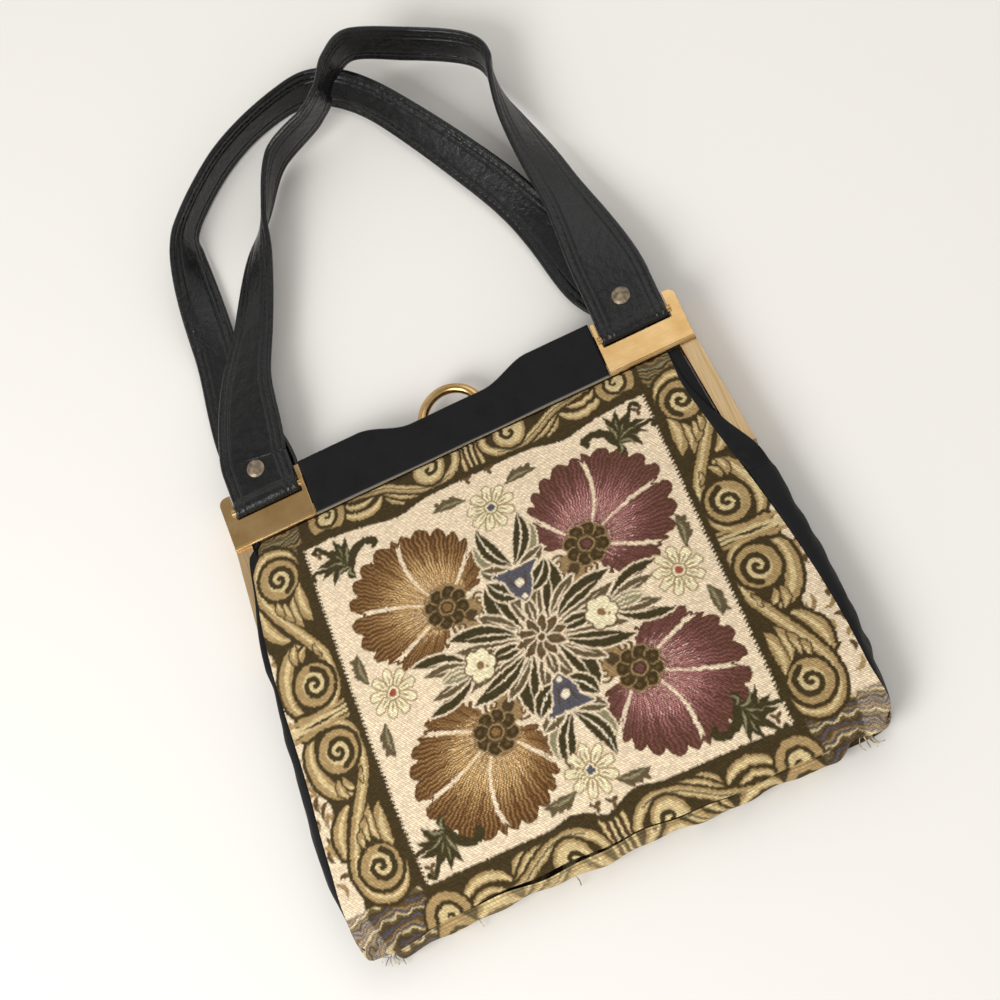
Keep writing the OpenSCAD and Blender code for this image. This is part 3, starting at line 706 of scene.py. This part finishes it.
def draw_heart(cloth):
    """The seeds in the middle of the leaf star."""
    for k in range(10):
        a = math.radians(36 * k)
        c, s = math.cos(a), 0.85 * math.sin(a)
        cloth.leaf(2 * c, 2 * s, 13 * c, 13 * s, 4.6, "brown", "cream", 0, 0.7)
        cloth.leaf(4 * c, 4 * s, 10 * c, 10 * s, 2.0, "moss")
    cloth.dot(0, 0, 2.6, "cream")
    cloth.dot(0, 0, 1.8, "brown")


def draw_bell(cloth):
    """A bell flower and the spray above it: x from its axis, y outwards from the leaf star."""
    for foot, tip, width, name in (((2, 38), (15, 57), 8, "sage"), ((1, 40), (11, 65), 8, "green"),
                                   ((3, 38), (16, 43), 7, "moss"), ((3, 24), (15, 36), 8, "green")):
        for flank in (-1, 1):
            line = (flank * foot[0], foot[1], flank * tip[0], tip[1])
            cloth.leaf(*line, width, name, "cream", -0.1 * flank, 0.9)
            cloth.leaf(*line, 1.0, "ivory", bend=-0.1 * flank)
    for grow, name in ((1.8, "cream"), (0, "slate")):
        brim = [(-11, 37.5, 1), (-6, 35.5, 5), (0, 33, 9), (6, 35.5, 5), (11, 37.5, 1)]
        cloth.stroke([(x, y, grow + width) for x, y, width in brim], name)
        cloth.stroke([(0, 21.5, grow + 3), (0, 26, grow + 9), (0, 31, grow + 13)], name)
    for x in (-5, 0, 5):
        cloth.leaf(x * 0.4, 26, x, 36, 0.9, "bark")
    cloth.dot(0, 30, 2.2, "ivory")
    cloth.dot(0, 22.5, 1.4, "ivory")


print("bouquet ready to draw")

# %% [markdown]
# ## Small motifs
# Daisies, corner sprigs and jagged leaves fill the rest of the field. Each is drawn once, at
# its own origin, and then placed by views of the cloth. Last, every row and column of yarn is
# shifted a little at random, because a weave can only follow an outline in steps.

# %% Draw the small motifs
def draw_side_flower(cloth):
    for k in range(6):
        a = math.radians(60 * k)
        cloth.dot(4.6 * math.cos(a), 5.0 * math.sin(a), 4.0, "brown")
    for k in range(6):
        a = math.radians(60 * k)
        cloth.dot(4.6 * math.cos(a), 5.0 * math.sin(a), 3.2, "daisy")
        cloth.dot(3.4 * math.cos(a + 0.5), 3.8 * math.sin(a + 0.5), 0.8, "tan")
    cloth.dot(0, 0, 1.9, "ochre")


def draw_daisy(cloth, centre):
    for k in range(9):
        a = math.radians(40 * k + 8)
        c, s = math.cos(a), math.sin(a)
        petal = [(2 * c, 2 * s, 1.2), (7 * c, 7 * s, 3.6), (10.2 * c, 10.2 * s, 4.0)]
        cloth.stroke(petal, "daisy", "tan", 0.7)
        cloth.leaf(4 * c, 4 * s, 9 * c, 9 * s, 0.9, "tan")
    cloth.dot(0, 0, 3.8, "tan")
    cloth.dot(0, 0, 3.0, "daisy")
    cloth.dot(0, 0, 2.0, centre)


def draw_sprig(cloth):
    """An acanthus sprig in a corner of the field: x and y run outwards."""
    fronds = [(14, -2, 5, 0.2), (15, 5, 6, 0.15), (10, 12, 6, 0.1), (3, 16, 6, 0.0), (-4, 15, 5, -0.1),
              (9, -8, 5.5, 0.3), (-3, -9, 5, 0.3)]
    for tip_x, tip_y, width, bend in fronds:
        cloth.leaf(-3, -3, tip_x, tip_y, 0.84 * width, "green", bend=bend)
        cloth.leaf(-2, -2, 0.75 * tip_x - 1, 0.75 * tip_y - 1, 1.3, "sage", bend=bend)
    cloth.stroke([(-3, -1, 4), (-6, 5, 5), (-12, 8, 4), (-17, 6, 4.5), (-16.5, 3.5, 3)], "green")
    cloth.stroke([(4, 4, 3), (11, 15, 2.4), (14, 14, 3)], "green")
    cloth.stroke([(6, 1, 3), (17, 3, 2.2), (18, 0, 3)], "green")


def draw_twig(cloth):
    """A sage leaf with a jagged edge: x runs from foot to tip."""
    cloth.leaf(0, 0, 17, 1, 6, "moss", bend=0.1)
    for x in (5, 9, 13):
        cloth.leaf(x - 2, 1, x + 2, 6, 3, "moss")
    cloth.leaf(1, 0, 14, 1, 1.4, "sage", bend=0.1)


def draw_motifs(cloth):
    ochre, wine = ("ochre_dark", "ochre", "ochre_light"), ("wine_dark", "wine", "wine_light")
    for across, up, tones in ((-1, 1.03, ochre), (1, 1.03, wine), (-1, -1.07, ochre), (1, -1.07, wine)):
        draw_quarter(cloth.seen_from(2, -113.4, across, up), tones)
    for up in (1, -1):
        draw_bell(cloth.seen_from(2.3, -113.4, 1, up))
    draw_heart(cloth.seen_from(2.3, -113.4))
    draw_side_flower(cloth.seen_from(-30, -113.5))
    draw_side_flower(cloth.seen_from(33, -114.5))
    for x, y, centre in ((2.5, -40, "slate"), (-1, -180, "slate"), (-75, -107, "rust"), (74, -110, "rust")):
        draw_daisy(cloth.seen_from(x, y), centre)
    for x, y, across, up in ((-76, -34, -1, 1), (74, -34, 1, 1), (-78, -179, -1, -1), (75, -182, 1, -1)):
        draw_sprig(cloth.seen_from(x, y, across, up))
    for x, y, across, up in ((-9, -30, -1, 1), (13, -31, 1, 1), (-12, -186, -1, -1), (8, -188, 1, -1)):
        draw_twig(cloth.seen_from(x, y, across, up))
    for x, y, up in ((-85, -97, 1), (-84, -119, -1), (82, -100, 1), (83, -122, -1)):
        view = cloth.seen_from(x, y, 1, up)
        draw_twig(Cloth(view.y, view.x * np.sign(x), view.tones))


def draw_tapestry(x, y):
    """The yarn colour at each point, x across and y up from the frame, in millimetres."""
    yarn_mm = 1.05
    weft, warp = np.random.default_rng(3).normal(0, 0.2, (2, 500))
    woven_x = x + weft[np.floor(y / yarn_mm).astype(int) % 500]
    woven_y = y + warp[np.floor(x / yarn_mm).astype(int) % 500]
    cloth = Cloth(woven_x, woven_y, np.tile(yarn["cream"], (len(x), 1)))
    draw_border(cloth)
    draw_field(cloth)
    draw_motifs(cloth)
    return cloth.tones


print("field motifs ready to draw")

# %% [markdown]
# ## Tapestry yarn
# A jacquard tapestry is woven from thick soft yarns: dull, a little fuzzy, and ribbed. The
# colour comes from the attribute drawn above. A Brick texture in cloth millimetres, sheared so
# that each row starts a little further along, breaks it into the short floats of a twill, each
# a slightly different tone, with painted shade in the groove between two floats.
# A real float is about 0.6 mm wide; it is drawn at 0.9 mm so that the camera can see it.
# The colours are kept per face corner, not per point, so one face holds four of them and a
# thin outline stays sharp.

# %% Tapestry material
# Tapestry yarn: matt and ribbed, with almost no shine, so the drawn colours stay deep.
float_mm, row_mm = 1.7, 0.9
tapestry, tree, surface = material("jacquard_tapestry_yarn")
drawn = add(tree, "Attribute", attribute_name="yarn_colour")
cloth_mm = add(tree, "UVMap", uv_map="cloth_mm")
shift = add(tree, "VectorMath", {1: (1, 0.62, 0)}, {0: (cloth_mm, "UV")}, operation="DOT_PRODUCT")
row = add(tree, "VectorMath", {1: (0, 1, 0)}, {0: (cloth_mm, "UV")}, operation="DOT_PRODUCT")
twill = add(tree, "CombineXYZ", links={"X": (shift, "Value"), "Y": (row, "Value")})
# The brick mortar colour is painted shade in the grooves between floats; the two brick colours are the random
# tones of single floats.
floats = add(tree, "TexBrick", {"Scale": 1.0, "Mortar Size": 0.17, "Mortar Smooth": 0.9, "Bias": 0.0,
                                "Brick Width": float_mm, "Row Height": row_mm,
                                "Color1": (1.34, 1.34, 1.34, 1), "Color2": (0.88, 0.88, 0.88, 1),
                                "Mortar": (0.62, 0.58, 0.52, 1)}, {"Vector": (twill, "Vector")}, offset=0.0)
fuzz = add(tree, "TexNoise", {"Scale": 0.9, "Detail": 5.0, "Roughness": 0.7}, {"Vector": (cloth_mm, "UV")})
worn = add(tree, "MapRange", {"From Min": 0.3, "From Max": 0.7, "To Min": 0.84, "To Max": 1.2},
           {"Value": (fuzz, "Fac")})
shaded = add(tree, "Mix", {0: 0.9}, {6: (drawn, "Color"), 7: (floats, "Color")}, data_type="RGBA",
             blend_type="MULTIPLY")
toned = add(tree, "Mix", {0: 1.0}, {6: (shaded, 2), 7: (worn, "Result")}, data_type="RGBA",
            blend_type="MULTIPLY")
ribs = add(tree, "Bump", {"Strength": 0.55, "Distance": 0.0005}, {"Height": (floats, "Fac")}, invert=True)
nap = add(tree, "Bump", {"Strength": 0.25, "Distance": 0.0006},
          {"Height": (fuzz, "Fac"), "Normal": (ribs, "Normal")})
wire(surface, {"Roughness": 0.88, "Sheen Weight": 0.05, "Specular IOR Level": 0.05},
     {"Base Color": (toned, 2), "Normal": (nap, "Normal")})
print(tapestry.name, "floats", float_mm, "by", row_mm, "mm")


# %% Weave the colours on to a piece
def weave_on(piece, x, y, faded=None):
    """Keep the drawn colours and the cloth coordinates on a piece, paler by the share in faded."""
    corner = np.zeros(len(piece.data.loops), np.int64)
    piece.data.loops.foreach_get("vertex_index", corner)
    at = np.c_[x, y][corner]
    inwards = at.reshape(-1, 4, 2).mean(axis=1).repeat(4, axis=0) - at
    tones = piece.data.color_attributes.new("yarn_colour", "FLOAT_COLOR", "CORNER")
    drawn_at = at + 0.4 * inwards
    yarns = draw_tapestry(*drawn_at.T)
    if faded is not None:
        yarns += (yarn["pale_gold"] - yarns) * faded[corner][:, None]
    shades = np.c_[yarns, np.ones(len(at))]
    tones.data.foreach_set("color", shades.astype(np.float32).ravel())
    piece.data.uv_layers[0].name = "cloth_mm"
    piece.data.uv_layers[0].data.foreach_set("uv", at.astype(np.float32).ravel())
    piece.data.materials.append(tapestry)


print("ready to weave", len(yarn), "yarns in floats of", float_mm, "mm")

# %% [markdown]
# ## The front panel
# The front is one piece of tapestry, cut wider at the bottom and gathered into the frame. It
# swells over what the bag holds and sags towards the bottom seam. It crosses the frame's
# hinge line.

# %% Front panel
arm_foot = 0.3


def panel_edge(flank, t):
    """How far the front reaches to one side: on the left it is pulled out over the frame's arm."""
    if flank > 0:
        return side(t) + 0.3 * corner_cut(t) - 2 * soft(t / 0.1) * (1 - soft((t - 0.85) / 0.1))
    pulled = 10.5 * soft((t + 0.02) / 0.06) * (1 - soft((t - 0.16) / 0.5))
    return side(t) + pulled + 0.62 * corner_cut(t) + 2.2 * soft((t - 0.78) / 0.2)


def edge_height(flank, t):
    lift = 2.4 * (soft(t / 0.05) - soft((t - 0.12) / 0.35))
    return seam(t) + (lift if flank < 0 else 0.4 * lift)


def hem_wave(s):
    return np.sin(s * 23) * 0.5 + np.sin(s * 9 + 1) * 0.9


def hem_sag(s):
    """How far the hem hangs lower towards the left corner."""
    return 2.6 * soft((-s - 0.55) / 0.4)


def gape(s):
    """How far the bottom seam has come open, most of it left of the middle."""
    return 2.4 * np.exp(-((s + 0.3) / 0.24) ** 2) + 0.8 * np.exp(-((s - 0.2) / 0.3) ** 2)


panel, s, v = flat_grid("tapestry_front", 350, 280)
t = (1 - v) / 2
slack = ripples(s * 2.2, t * 2.6, 11) * np.sin(np.pi * np.clip(t, 0, 1)) * (1 - s ** 4)
hem = soft((t - 0.94) / 0.06)
wave = hem_wave(s) + gape(s) - 0.8
gathers = 0.5 * np.sin(s * 46) * (1 - soft(t / 0.1))
left, right = panel_edge(-1, t), panel_edge(1, t)
x = np.where(s < 0, s * left, s * right)
y = drop(t) + hem * (wave - hem_sag(s))
edge_z = np.where(s < 0, edge_height(-1, t), edge_height(1, t))
z = edge_z + (crown(t) - seam(t)) * (1 - np.abs(s) ** 2.2) + (seam(t) - edge_z) * (1 - s * s) ** 2
z = z + slack + gathers * 0.5 - 0.8 * np.exp(-((t - 0.975) / 0.008) ** 2)
move_points(panel, x, y, z)
face_outwards(panel, (0, 0, 1))
weave_on(panel, x, y - rest_y)
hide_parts("front_panel")
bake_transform(panel)

# %% [markdown]
# ## The back and the bottom
# The back is the same tapestry lying flat on the table, and the bottom is the strip that
# turns under. The strip is the worn part of the bag: its seam has come open, so that a dark
# slit shows, and its yarns have faded. Both are sheets from the same grid, drawn with the
# same painter.

# %% Back and bottom panels
back, s, v = flat_grid("tapestry_back", 180, 140)
t = (1 - v) / 2
x, y = s * (side(t) - 0.4), drop(t)
move_points(back, x, y, base(t) + 0.25)
face_outwards(back, (0, 0, -1))
weave_on(back, x, y - rest_y)
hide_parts("back_panel")
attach(back, "bag")

bottom, s, v = flat_grid("tapestry_bottom", 260, 24)
q = (1 - v) / 2
t = np.ones_like(s)
tucked = soft((s - 0.84) / 0.16) + soft((-s - 0.93) / 0.07)
wave = np.sin(s * 31 + 2) * 0.5 + np.sin(s * 13) * 0.7
out = np.sin(np.pi * np.clip(q, 0, 1)) ** 0.7
x = s * np.where(s < 0, panel_edge(-1, t) - 4, side(t) - 2)
hem = (hem_wave(s) - 0.8) * (1 - q) ** 2 - hem_sag(s)
y = drop(t) + hem + 0.5 + (wave - 5.0) * out * (1 - tucked) + 5 * tucked
z = (front_height(s, t) - 0.9 - 0.6 * gape(s)) * (1 - q) + 0.3 * q
move_points(bottom, x, y, z)
face_outwards(bottom, (0, -1, 0))
weave_on(bottom, x, -203 - 10 * q, 0.3 * np.exp(-((s + 0.3) / 0.35) ** 2))
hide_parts("bottom_panel")
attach(bottom, "bag")
print(back.name, bottom.name, "area", round(cloth_area(back) * 1e4), round(cloth_area(bottom) * 1e4), "cm2")

# %% [markdown]
# ## Frayed threads
# Where the corners rub, the weave has come apart and a few loose ends of yarn stick out of
# the hem. Each is a grid rolled into a tube that is thin at both ends, bent along its own
# curve. A real yarn is about 0.4 mm thick; it is drawn at 0.55 mm so that the camera sees it.

# %% Frayed threads
# Loose cotton yarn: dull and soft, grey where it is soiled and pale where it is not.
loose_yarn, tree, surface = material("loose_cotton_yarn")
coords = add(tree, "TexCoord")
soil_mm = 4.55
soil = add(tree, "TexNoise", {"Scale": 1000 / soil_mm, "Detail": 3.0}, {"Vector": (coords, "Object")})
tint = add(tree, "ValToRGB", links={"Fac": (soil, "Fac")}, stops=((0.38, "#6E6350"), (0.62, "#D9C8A2")))
wire(surface, {"Roughness": 0.9, "Sheen Weight": 0.2}, {"Base Color": (tint, "Color")})
draw = np.random.default_rng(5)


def make_thread(number, s, low):
    piece, a, b = flat_grid(f"thread_{number}", 6, 14)
    u = (b + 1) / 2
    half = panel_edge(-1, 1.0) if s < 0 else side(1.0)
    heading = math.radians(-90 + 42 * s + draw.normal(0, 24))
    length, bend, lift = draw.uniform(4, 8), draw.normal(0, 2.4), draw.uniform(0.5, 2.5)
    along, aside = length * u - 1.5, bend * np.sin(2.6 * u)
    radius = 0.28 * np.clip(np.minimum(u, 1 - u) * 14, 0, 1)
    aside = aside + radius * np.cos(np.pi * a)
    x = s * (half - 3) + along * math.cos(heading) - aside * math.sin(heading)
    hem_y = drop(1.0) - (4.5 if s < 0 else 0)
    y = hem_y + along * math.sin(heading) + aside * math.cos(heading)
    z = low * (1 - u) + 0.5 + lift * np.sin(np.pi * u) + radius * np.sin(np.pi * a)
    move_points(piece, x, y, z)
    return piece


feet = list(draw.uniform(-1.0, -0.9, 9)) + [-0.62, -0.24] + list(draw.uniform(0.97, 1.02, 6))
loose = [make_thread(k, s, draw.uniform(3, 13)) for k, s in enumerate(feet)]
bpy.ops.object.select_all(action="DESELECT")
for piece in loose:
    piece.select_set(True)
bpy.context.view_layer.objects.active = loose[0]
bpy.ops.object.join()
threads = bpy.context.object
threads.name = threads.data.name = "frayed_threads"
weld()
threads.data.materials.append(loose_yarn)
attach(threads, "bag")
print(threads.name, len(feet), "loose ends")

# %% [markdown]
# ## The gussets
# A gusset is a black leather wedge between front and back. Above the hinge it rolls out over
# the arm of the frame, and it is a piece of its own. Below the hinge it only bulges, and stays
# with the bag. The two overlap a little, so that no gap opens between them.

# %% Gussets
lower_start, upper_end = 0.352, 0.36


def roll_out(flank, t):
    """How far the leather rolls out past the edge of the tapestry."""
    if flank > 0:
        drops = [0, 0.1, 0.2, 0.25, 0.3, 0.36, 0.45, 0.6, 0.75, 0.87, 0.96]
        rolls = [0.5, 3, 6, 9.5, 13, 13.5, 10.5, 8, 5.5, 3, 0]
    else:
        drops = [0.02, 0.06, 0.12, 0.24, 0.33, 0.48, 0.8, 0.94]
        rolls = [0, 1.2, 1.3, 3.6, 3.8, 6.6, 6.4, 0]
    return sum(np.interp(t + shift, drops, rolls) for shift in (-0.025, -0.01, 0.01, 0.025)) / 4


def gusset_line(flank, t, q):
    """Across a gusset from the front seam (q = 0) to the back seam (q = 1)."""
    edge = panel_edge(flank, t) - 0.2
    arm_inside = 118.5 + 5.5 * np.clip(t * body_height / arm_drop, 0, 1)
    free = soft((t - arm_foot) / 0.06)
    roll = roll_out(flank, t)
    over = soft(q / 0.18) - soft((q - 0.22) / 0.2)
    level = 20.6 if flank < 0 else 18.4 + 2.2 * soft((t - 0.17) / 0.03)
    plump = 0.3 * np.minimum(roll, 5) * soft(q / 0.1) * (1 - soft((q - 0.1) / 0.14))
    beside_x = edge + (arm_inside - edge) * soft((q - 0.2) / 0.22) + roll * over
    beside_z = np.where(q < 0.45, edge_height(flank, t) * (1 - soft(q / 0.3)) + level * soft(q / 0.3) + plump,
                        level + (base(t) + 0.3 - level) * (q - 0.45) / 0.55)
    bulge = np.sin(np.pi * np.clip(q, 0, 1) ** 0.65) ** 0.75
    below_x = edge + (side(t) - 0.2 - edge) * soft(q) + roll * bulge
    below_z = (seam(t) - 0.2) * (1 - q) + (base(t) + 0.3) * q
    return beside_x * (1 - free) + below_x * free, beside_z * (1 - free) + below_z * free


print("rolls at half height", [round(float(roll_out(flank, 0.5)), 1) for flank in (-1, 1)], "mm")


# %% Make the gussets
def make_gusset(name, flank, top, low, node):
    piece, a, b = flat_grid(name, 40, 150)
    q = (a + 1) / 2
    t = top + (low - top) * (1 - b) / 2
    x, z = gusset_line(flank, t, q)
    free = np.sin(np.pi * np.clip(q, 0, 1)) * soft((t - upper_end) / 0.1)
    crease = ripples(t * 9, q * 1.2, 20 + flank) * 0.9 * free
    move_points(piece, flank * (x + crease * (1 - soft((t - 0.9) / 0.1))), drop(t), z)
    face_outwards(piece, (flank, 0, 0))
    piece.data.materials.append(body_leather)
    thicken(piece, 0.7)
    if node:
        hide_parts(node)
    return piece


for flank, word in ((-1, "left"), (1, "right")):
    lower = make_gusset(f"{word}_gusset_lower", flank, lower_start, 1.0, f"{word}_gusset")
    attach(lower, "bag")
    upper = make_gusset(f"{word}_gusset_upper", flank, 0.0, upper_end, None)
    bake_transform(upper)
    print(lower.name, upper.name, "made,", len(lower.data.polygons), "faces each")

# %% [markdown]
# ## The lining
# Inside, a loose twill bag hangs a little clear of the tapestry. Only its mouth shows, when
# the frame opens; the back half stays with the bag.

# %% Lining
lining, s, v = flat_grid("lining_front", 60, 60)
t = 0.02 + 0.96 * (1 - v) / 2
inside_arm = 118 + 5.5 * np.clip(t * body_height / arm_drop, 0, 1) + 14 * soft((t - 0.34) / 0.2)
left = np.minimum(panel_edge(-1, t) - 1.5, inside_arm)
x = np.where(s < 0, s * left, s * (side(t) - 2.6))
move_points(lining, x, drop(t), front_height(s, t) - 3.2)
face_outwards(lining, (0, 0, -1))
lining.data.materials.append(lining_twill)
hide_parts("lining")
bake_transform(lining)

lining_back, s, v = flat_grid("lining_back", 60, 60)
t = 0.02 + 0.96 * (1 - v) / 2
move_points(lining_back, s * (side(t) - 2.6), drop(t), base(t) + 2.2)
face_outwards(lining_back, (0, 0, 1))
lining_back.data.materials.append(lining_twill)
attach(lining_back, "bag")
print(lining.name, lining_back.name)

# %% [markdown]
# ## The collars
# A collar is a strip of black leather along each half of the frame, between the corner
# plates. Its top edge dips in the middle to bare the ring. The grid is stretched under that
# edge, the rim is rolled over a little, and a raw grey line is left where its lower edge was
# cut.

# %% Collars
half_length, full_height, dip = 82, 31, 7.8
frame_middle, frame_half = 12.1, 7.4


def collar_top(x):
    return full_height - dip * (1 - soft((np.abs(x) - 20) / 28))


def make_collar(half, way, body):
    piece, a, b = flat_grid(f"{half}_collar_leather", 160, 30)
    x = a * half_length
    share = (b + 1) / 2
    y = share * collar_top(x)
    rim = np.minimum(np.minimum(half_length - np.abs(x), collar_top(x) - y), y + 0.2)
    lift = 2.4 - 0.9 * (1 - np.clip(rim / 1.6, 0, 1)) ** 2 + 0.22 * ripples(a * 2.5, share, 31 + way)
    move_points(piece, x, rest_y + y, frame_middle + way * (frame_half + lift))
    face_outwards(piece, (0, 0, way))
    raw = piece.data.attributes.new("raw_edge", "FLOAT", "POINT")
    raw.data.foreach_set("value", (1 - soft((y - 0.25) / 0.5)).astype(np.float32))
    piece.data.materials.append(body_leather)
    thicken(piece, 1.6)
    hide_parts(f"{half}_collar")
    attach(piece, body)


make_collar("front", 1, "front_half")
make_collar("back", -1, "bag")

# %% [markdown]
# ## The strap handles
# A handle is two layers of leather sewn together along both edges, folded round a bar on
# each corner plate and fixed by a rivet. Off the bag it goes where gravity lets it: it rolls
# on its edge and lies over its neighbour. The route lists the same points as the CAD model,
# across as a share of the bar's place, up as a share of the reach, the height of its lower
# edge, and its roll. A profile with rolled edges, a sewn groove with stitches and a second
# pressed line beside it is swept along that route.

# %% Strap routes
strap_x, bar_y, reach, layer = 103.5, 20.0, 219.0, 1.7
narrow, wide, fold_radius = 24.5, 36.3, 4
rivet_place, rivet_radius = 17, 4.75
start = (rivet_place + rivet_radius + 0.2) / reach
over = narrow * math.sin(math.radians(58)) + 3.4
ease = narrow / 3
front_lift, back_lift = 18.4, 2.4
front_route = [
    (-1, start, front_lift, 0), (-0.985, start + 0.035, front_lift - 0.2, -1), (-0.905, 0.295, 13.6, -8),
    (-0.77, 0.43, 10.2, -15), (-0.617, 0.594, 5, -38), (-0.497, 0.703, 1.8, -74), (-0.333, 0.82, 4.5, -90),
    (-0.066, 0.853, over - ease, -86), (0.043, 0.875, over, -84), (0.14, 0.93, over + 1.7, -88),
    (0.285, 0.977, over - 0.7 * ease, -94), (0.54, 0.953, 4, -104), (0.745, 0.898, 1.7, -106),
    (0.85, 0.852, 1.5, -106), (0.883, 0.807, 1.5, -103), (0.872, 0.764, 1.8, -95),
    (0.885, 0.637, 3.5, -61), (0.93, 0.475, 8.3, -30),
    (0.973, 0.315, 12.9, -13), (0.998, start + 0.05, front_lift - 0.4, -1), (1, start, front_lift, 0),
]
back_route = [
    (-1, start, back_lift, 0), (-1.008, start + 0.035, back_lift - 0.4, 0), (-1.033, 0.2, 1.4, 0),
    (-1.038, 0.31, 0.5, 1), (-1.02, 0.456, 0.4, 8), (-0.99, 0.615, 0.4, 38),
    (-0.96, 0.708, 0.4, 62), (-0.915, 0.767, 0.4, 84),
    (-0.787, 0.833, 0.4, 88), (-0.607, 0.9, 0.4, 88), (-0.404, 0.947, 0.4, 88), (-0.176, 0.974, 0.4, 82),
    (-0.009, 0.97, 0.4, 66), (0.13, 0.931, 0.4, 56), (0.26, 0.86, 0.4, 52), (0.402, 0.75, 0.4, 45),
    (0.552, 0.62, 0.4, 35), (0.69, 0.488, 0.4, 25), (0.803, 0.348, 0.4, 12), (0.906, 0.2, 1.2, 3),
    (0.985, start + 0.035, back_lift - 0.4, 0), (1, start, back_lift, 0),
]


def strap_width(share):
    return narrow + (wide - narrow) * (1 - soft((share - 0.13) / 0.32))


def strap_path(route):
    """Points, widths, half thicknesses and rolls along a strap, fold to fold."""
    rows = np.array(smooth_line(route, 40))
    roll = np.radians(rows[:, 3])
    width = strap_width(rows[:, 1])
    points = np.stack([
        rows[:, 0] * strap_x,
        rest_y + bar_y + rows[:, 1] * reach,
        rows[:, 2] + np.abs(np.sin(roll)) * width / 2 + np.abs(np.cos(roll)) * layer,
    ], axis=1)
    fold = np.linspace(-3.95, start * reach, 60)[:-1]
    flat = np.zeros(len(fold))
    ends = []
    for tip, level in ((points[0], fold), (points[-1], fold[::-1])):
        ends.append(np.stack([flat + tip[0], rest_y + bar_y + level, flat + tip[2]], axis=1))
    path = np.concatenate([ends[0], points, ends[1]])
    roll = np.concatenate([flat, roll, flat])
    width = np.concatenate([flat + wide, width, flat + wide])
    height = path[:, 1] - rest_y - bar_y
    near = np.arange(len(path)) < 120
    near |= near[::-1]
    round_bar = np.sqrt(np.clip(fold_radius ** 2 - height ** 2, 0.1, None))
    loop = np.where(height < 0, round_bar, fold_radius - 2.3 * soft((height - 1) / 5.5))
    thick = np.where(near & (height < 12), loop, layer)
    run = np.r_[0, np.cumsum(np.linalg.norm(np.diff(path, axis=0), axis=1))]
    even = np.arange(0, run[-1], 0.85)
    stack = np.c_[path, roll, width, thick]
    return np.stack([np.interp(even, run, column) for column in stack.T], axis=1), even


front_rows, front_run = strap_path(front_route)
back_rows, back_run = strap_path(back_route)
print("straps", round(front_run[-1]), "and", round(back_run[-1]), "mm from fold to fold")

# %% Sweep the straps
sewn_in, pressed_in, stitch_mm = 3.4, 6.4, 3.6
edge_steps = np.array([0, 0.12, 0.4, 0.8, 1.3, 2.0, 2.6, 2.9, 3.15, 3.4, 3.65, 3.9, 4.3, 4.9, 5.4, 5.8,
                       6.1, 6.4, 6.7, 7.0, 7.5, 8.6])


def make_strap(half_name, rows, run):
    steps = len(edge_steps)
    ring = 4 * steps
    piece, a, b = flat_grid(f"{half_name}_strap", ring, len(rows) - 1)
    k = np.rint((a + 1) / 2 * ring).astype(int) % ring
    j = np.rint((b + 1) / 2 * (len(rows) - 1)).astype(int)
    tangent = np.gradient(rows[:, :3], axis=0)
    tangent /= np.linalg.norm(tangent, axis=1, keepdims=True)
    level = np.stack([-tangent[:, 1], tangent[:, 0], 0 * tangent[:, 0]], axis=1)
    level /= np.linalg.norm(level, axis=1, keepdims=True)
    upright = np.cross(tangent, level)
    across = level * np.cos(rows[:, 3:4]) + upright * np.sin(rows[:, 3:4])
    facing = np.cross(tangent, across)
    quarter, step = k // steps, k % steps
    from_edge = np.where(quarter % 2 == 0, edge_steps[step], edge_steps[steps - 1 - step])
    half = rows[j, 4] / 2
    place = np.where((quarter == 0) | (quarter == 3), -1, 1) * (half - from_edge)
    side_up = np.where(quarter < 2, 1, -1)
    rolled = np.sqrt(np.clip(1 - (1 - np.clip(from_edge / 1.3, 0, 1)) ** 2, 0, 1))
    on_stitch = soft((0.40 - np.abs((run[j] / stitch_mm) % 1 - 0.5)) / 0.12)
    pressed = 0.9 * np.exp(-((from_edge - pressed_in) / 0.5) ** 2)
    groove = np.exp(-((from_edge - sewn_in) / 0.55) ** 2) + pressed
    thread = np.exp(-((from_edge - sewn_in) / 0.3) ** 2) * on_stitch
    puff = 0.22 * soft((from_edge - sewn_in) / 3)
    high = rows[j, 5] * rolled - 0.5 * groove + 0.5 * thread + puff - 0.15
    points = rows[j, :3] + across[j] * place[:, None] + facing[j] * (side_up * high)[:, None]
    move_points(piece, *points.T)
    sewn = piece.data.attributes.new("thread", "FLOAT", "POINT")
    sewn.data.foreach_set("value", thread.astype(np.float32))
    weld(cap_ends=True)
    piece.data.materials.append(strap_leather)
    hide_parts(f"{half_name}_handle")
    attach(piece, f"{half_name}_handle")
    print(piece.name, len(piece.data.polygons), "faces")


make_strap("front", front_rows, front_run)
make_strap("back", back_rows, back_run)
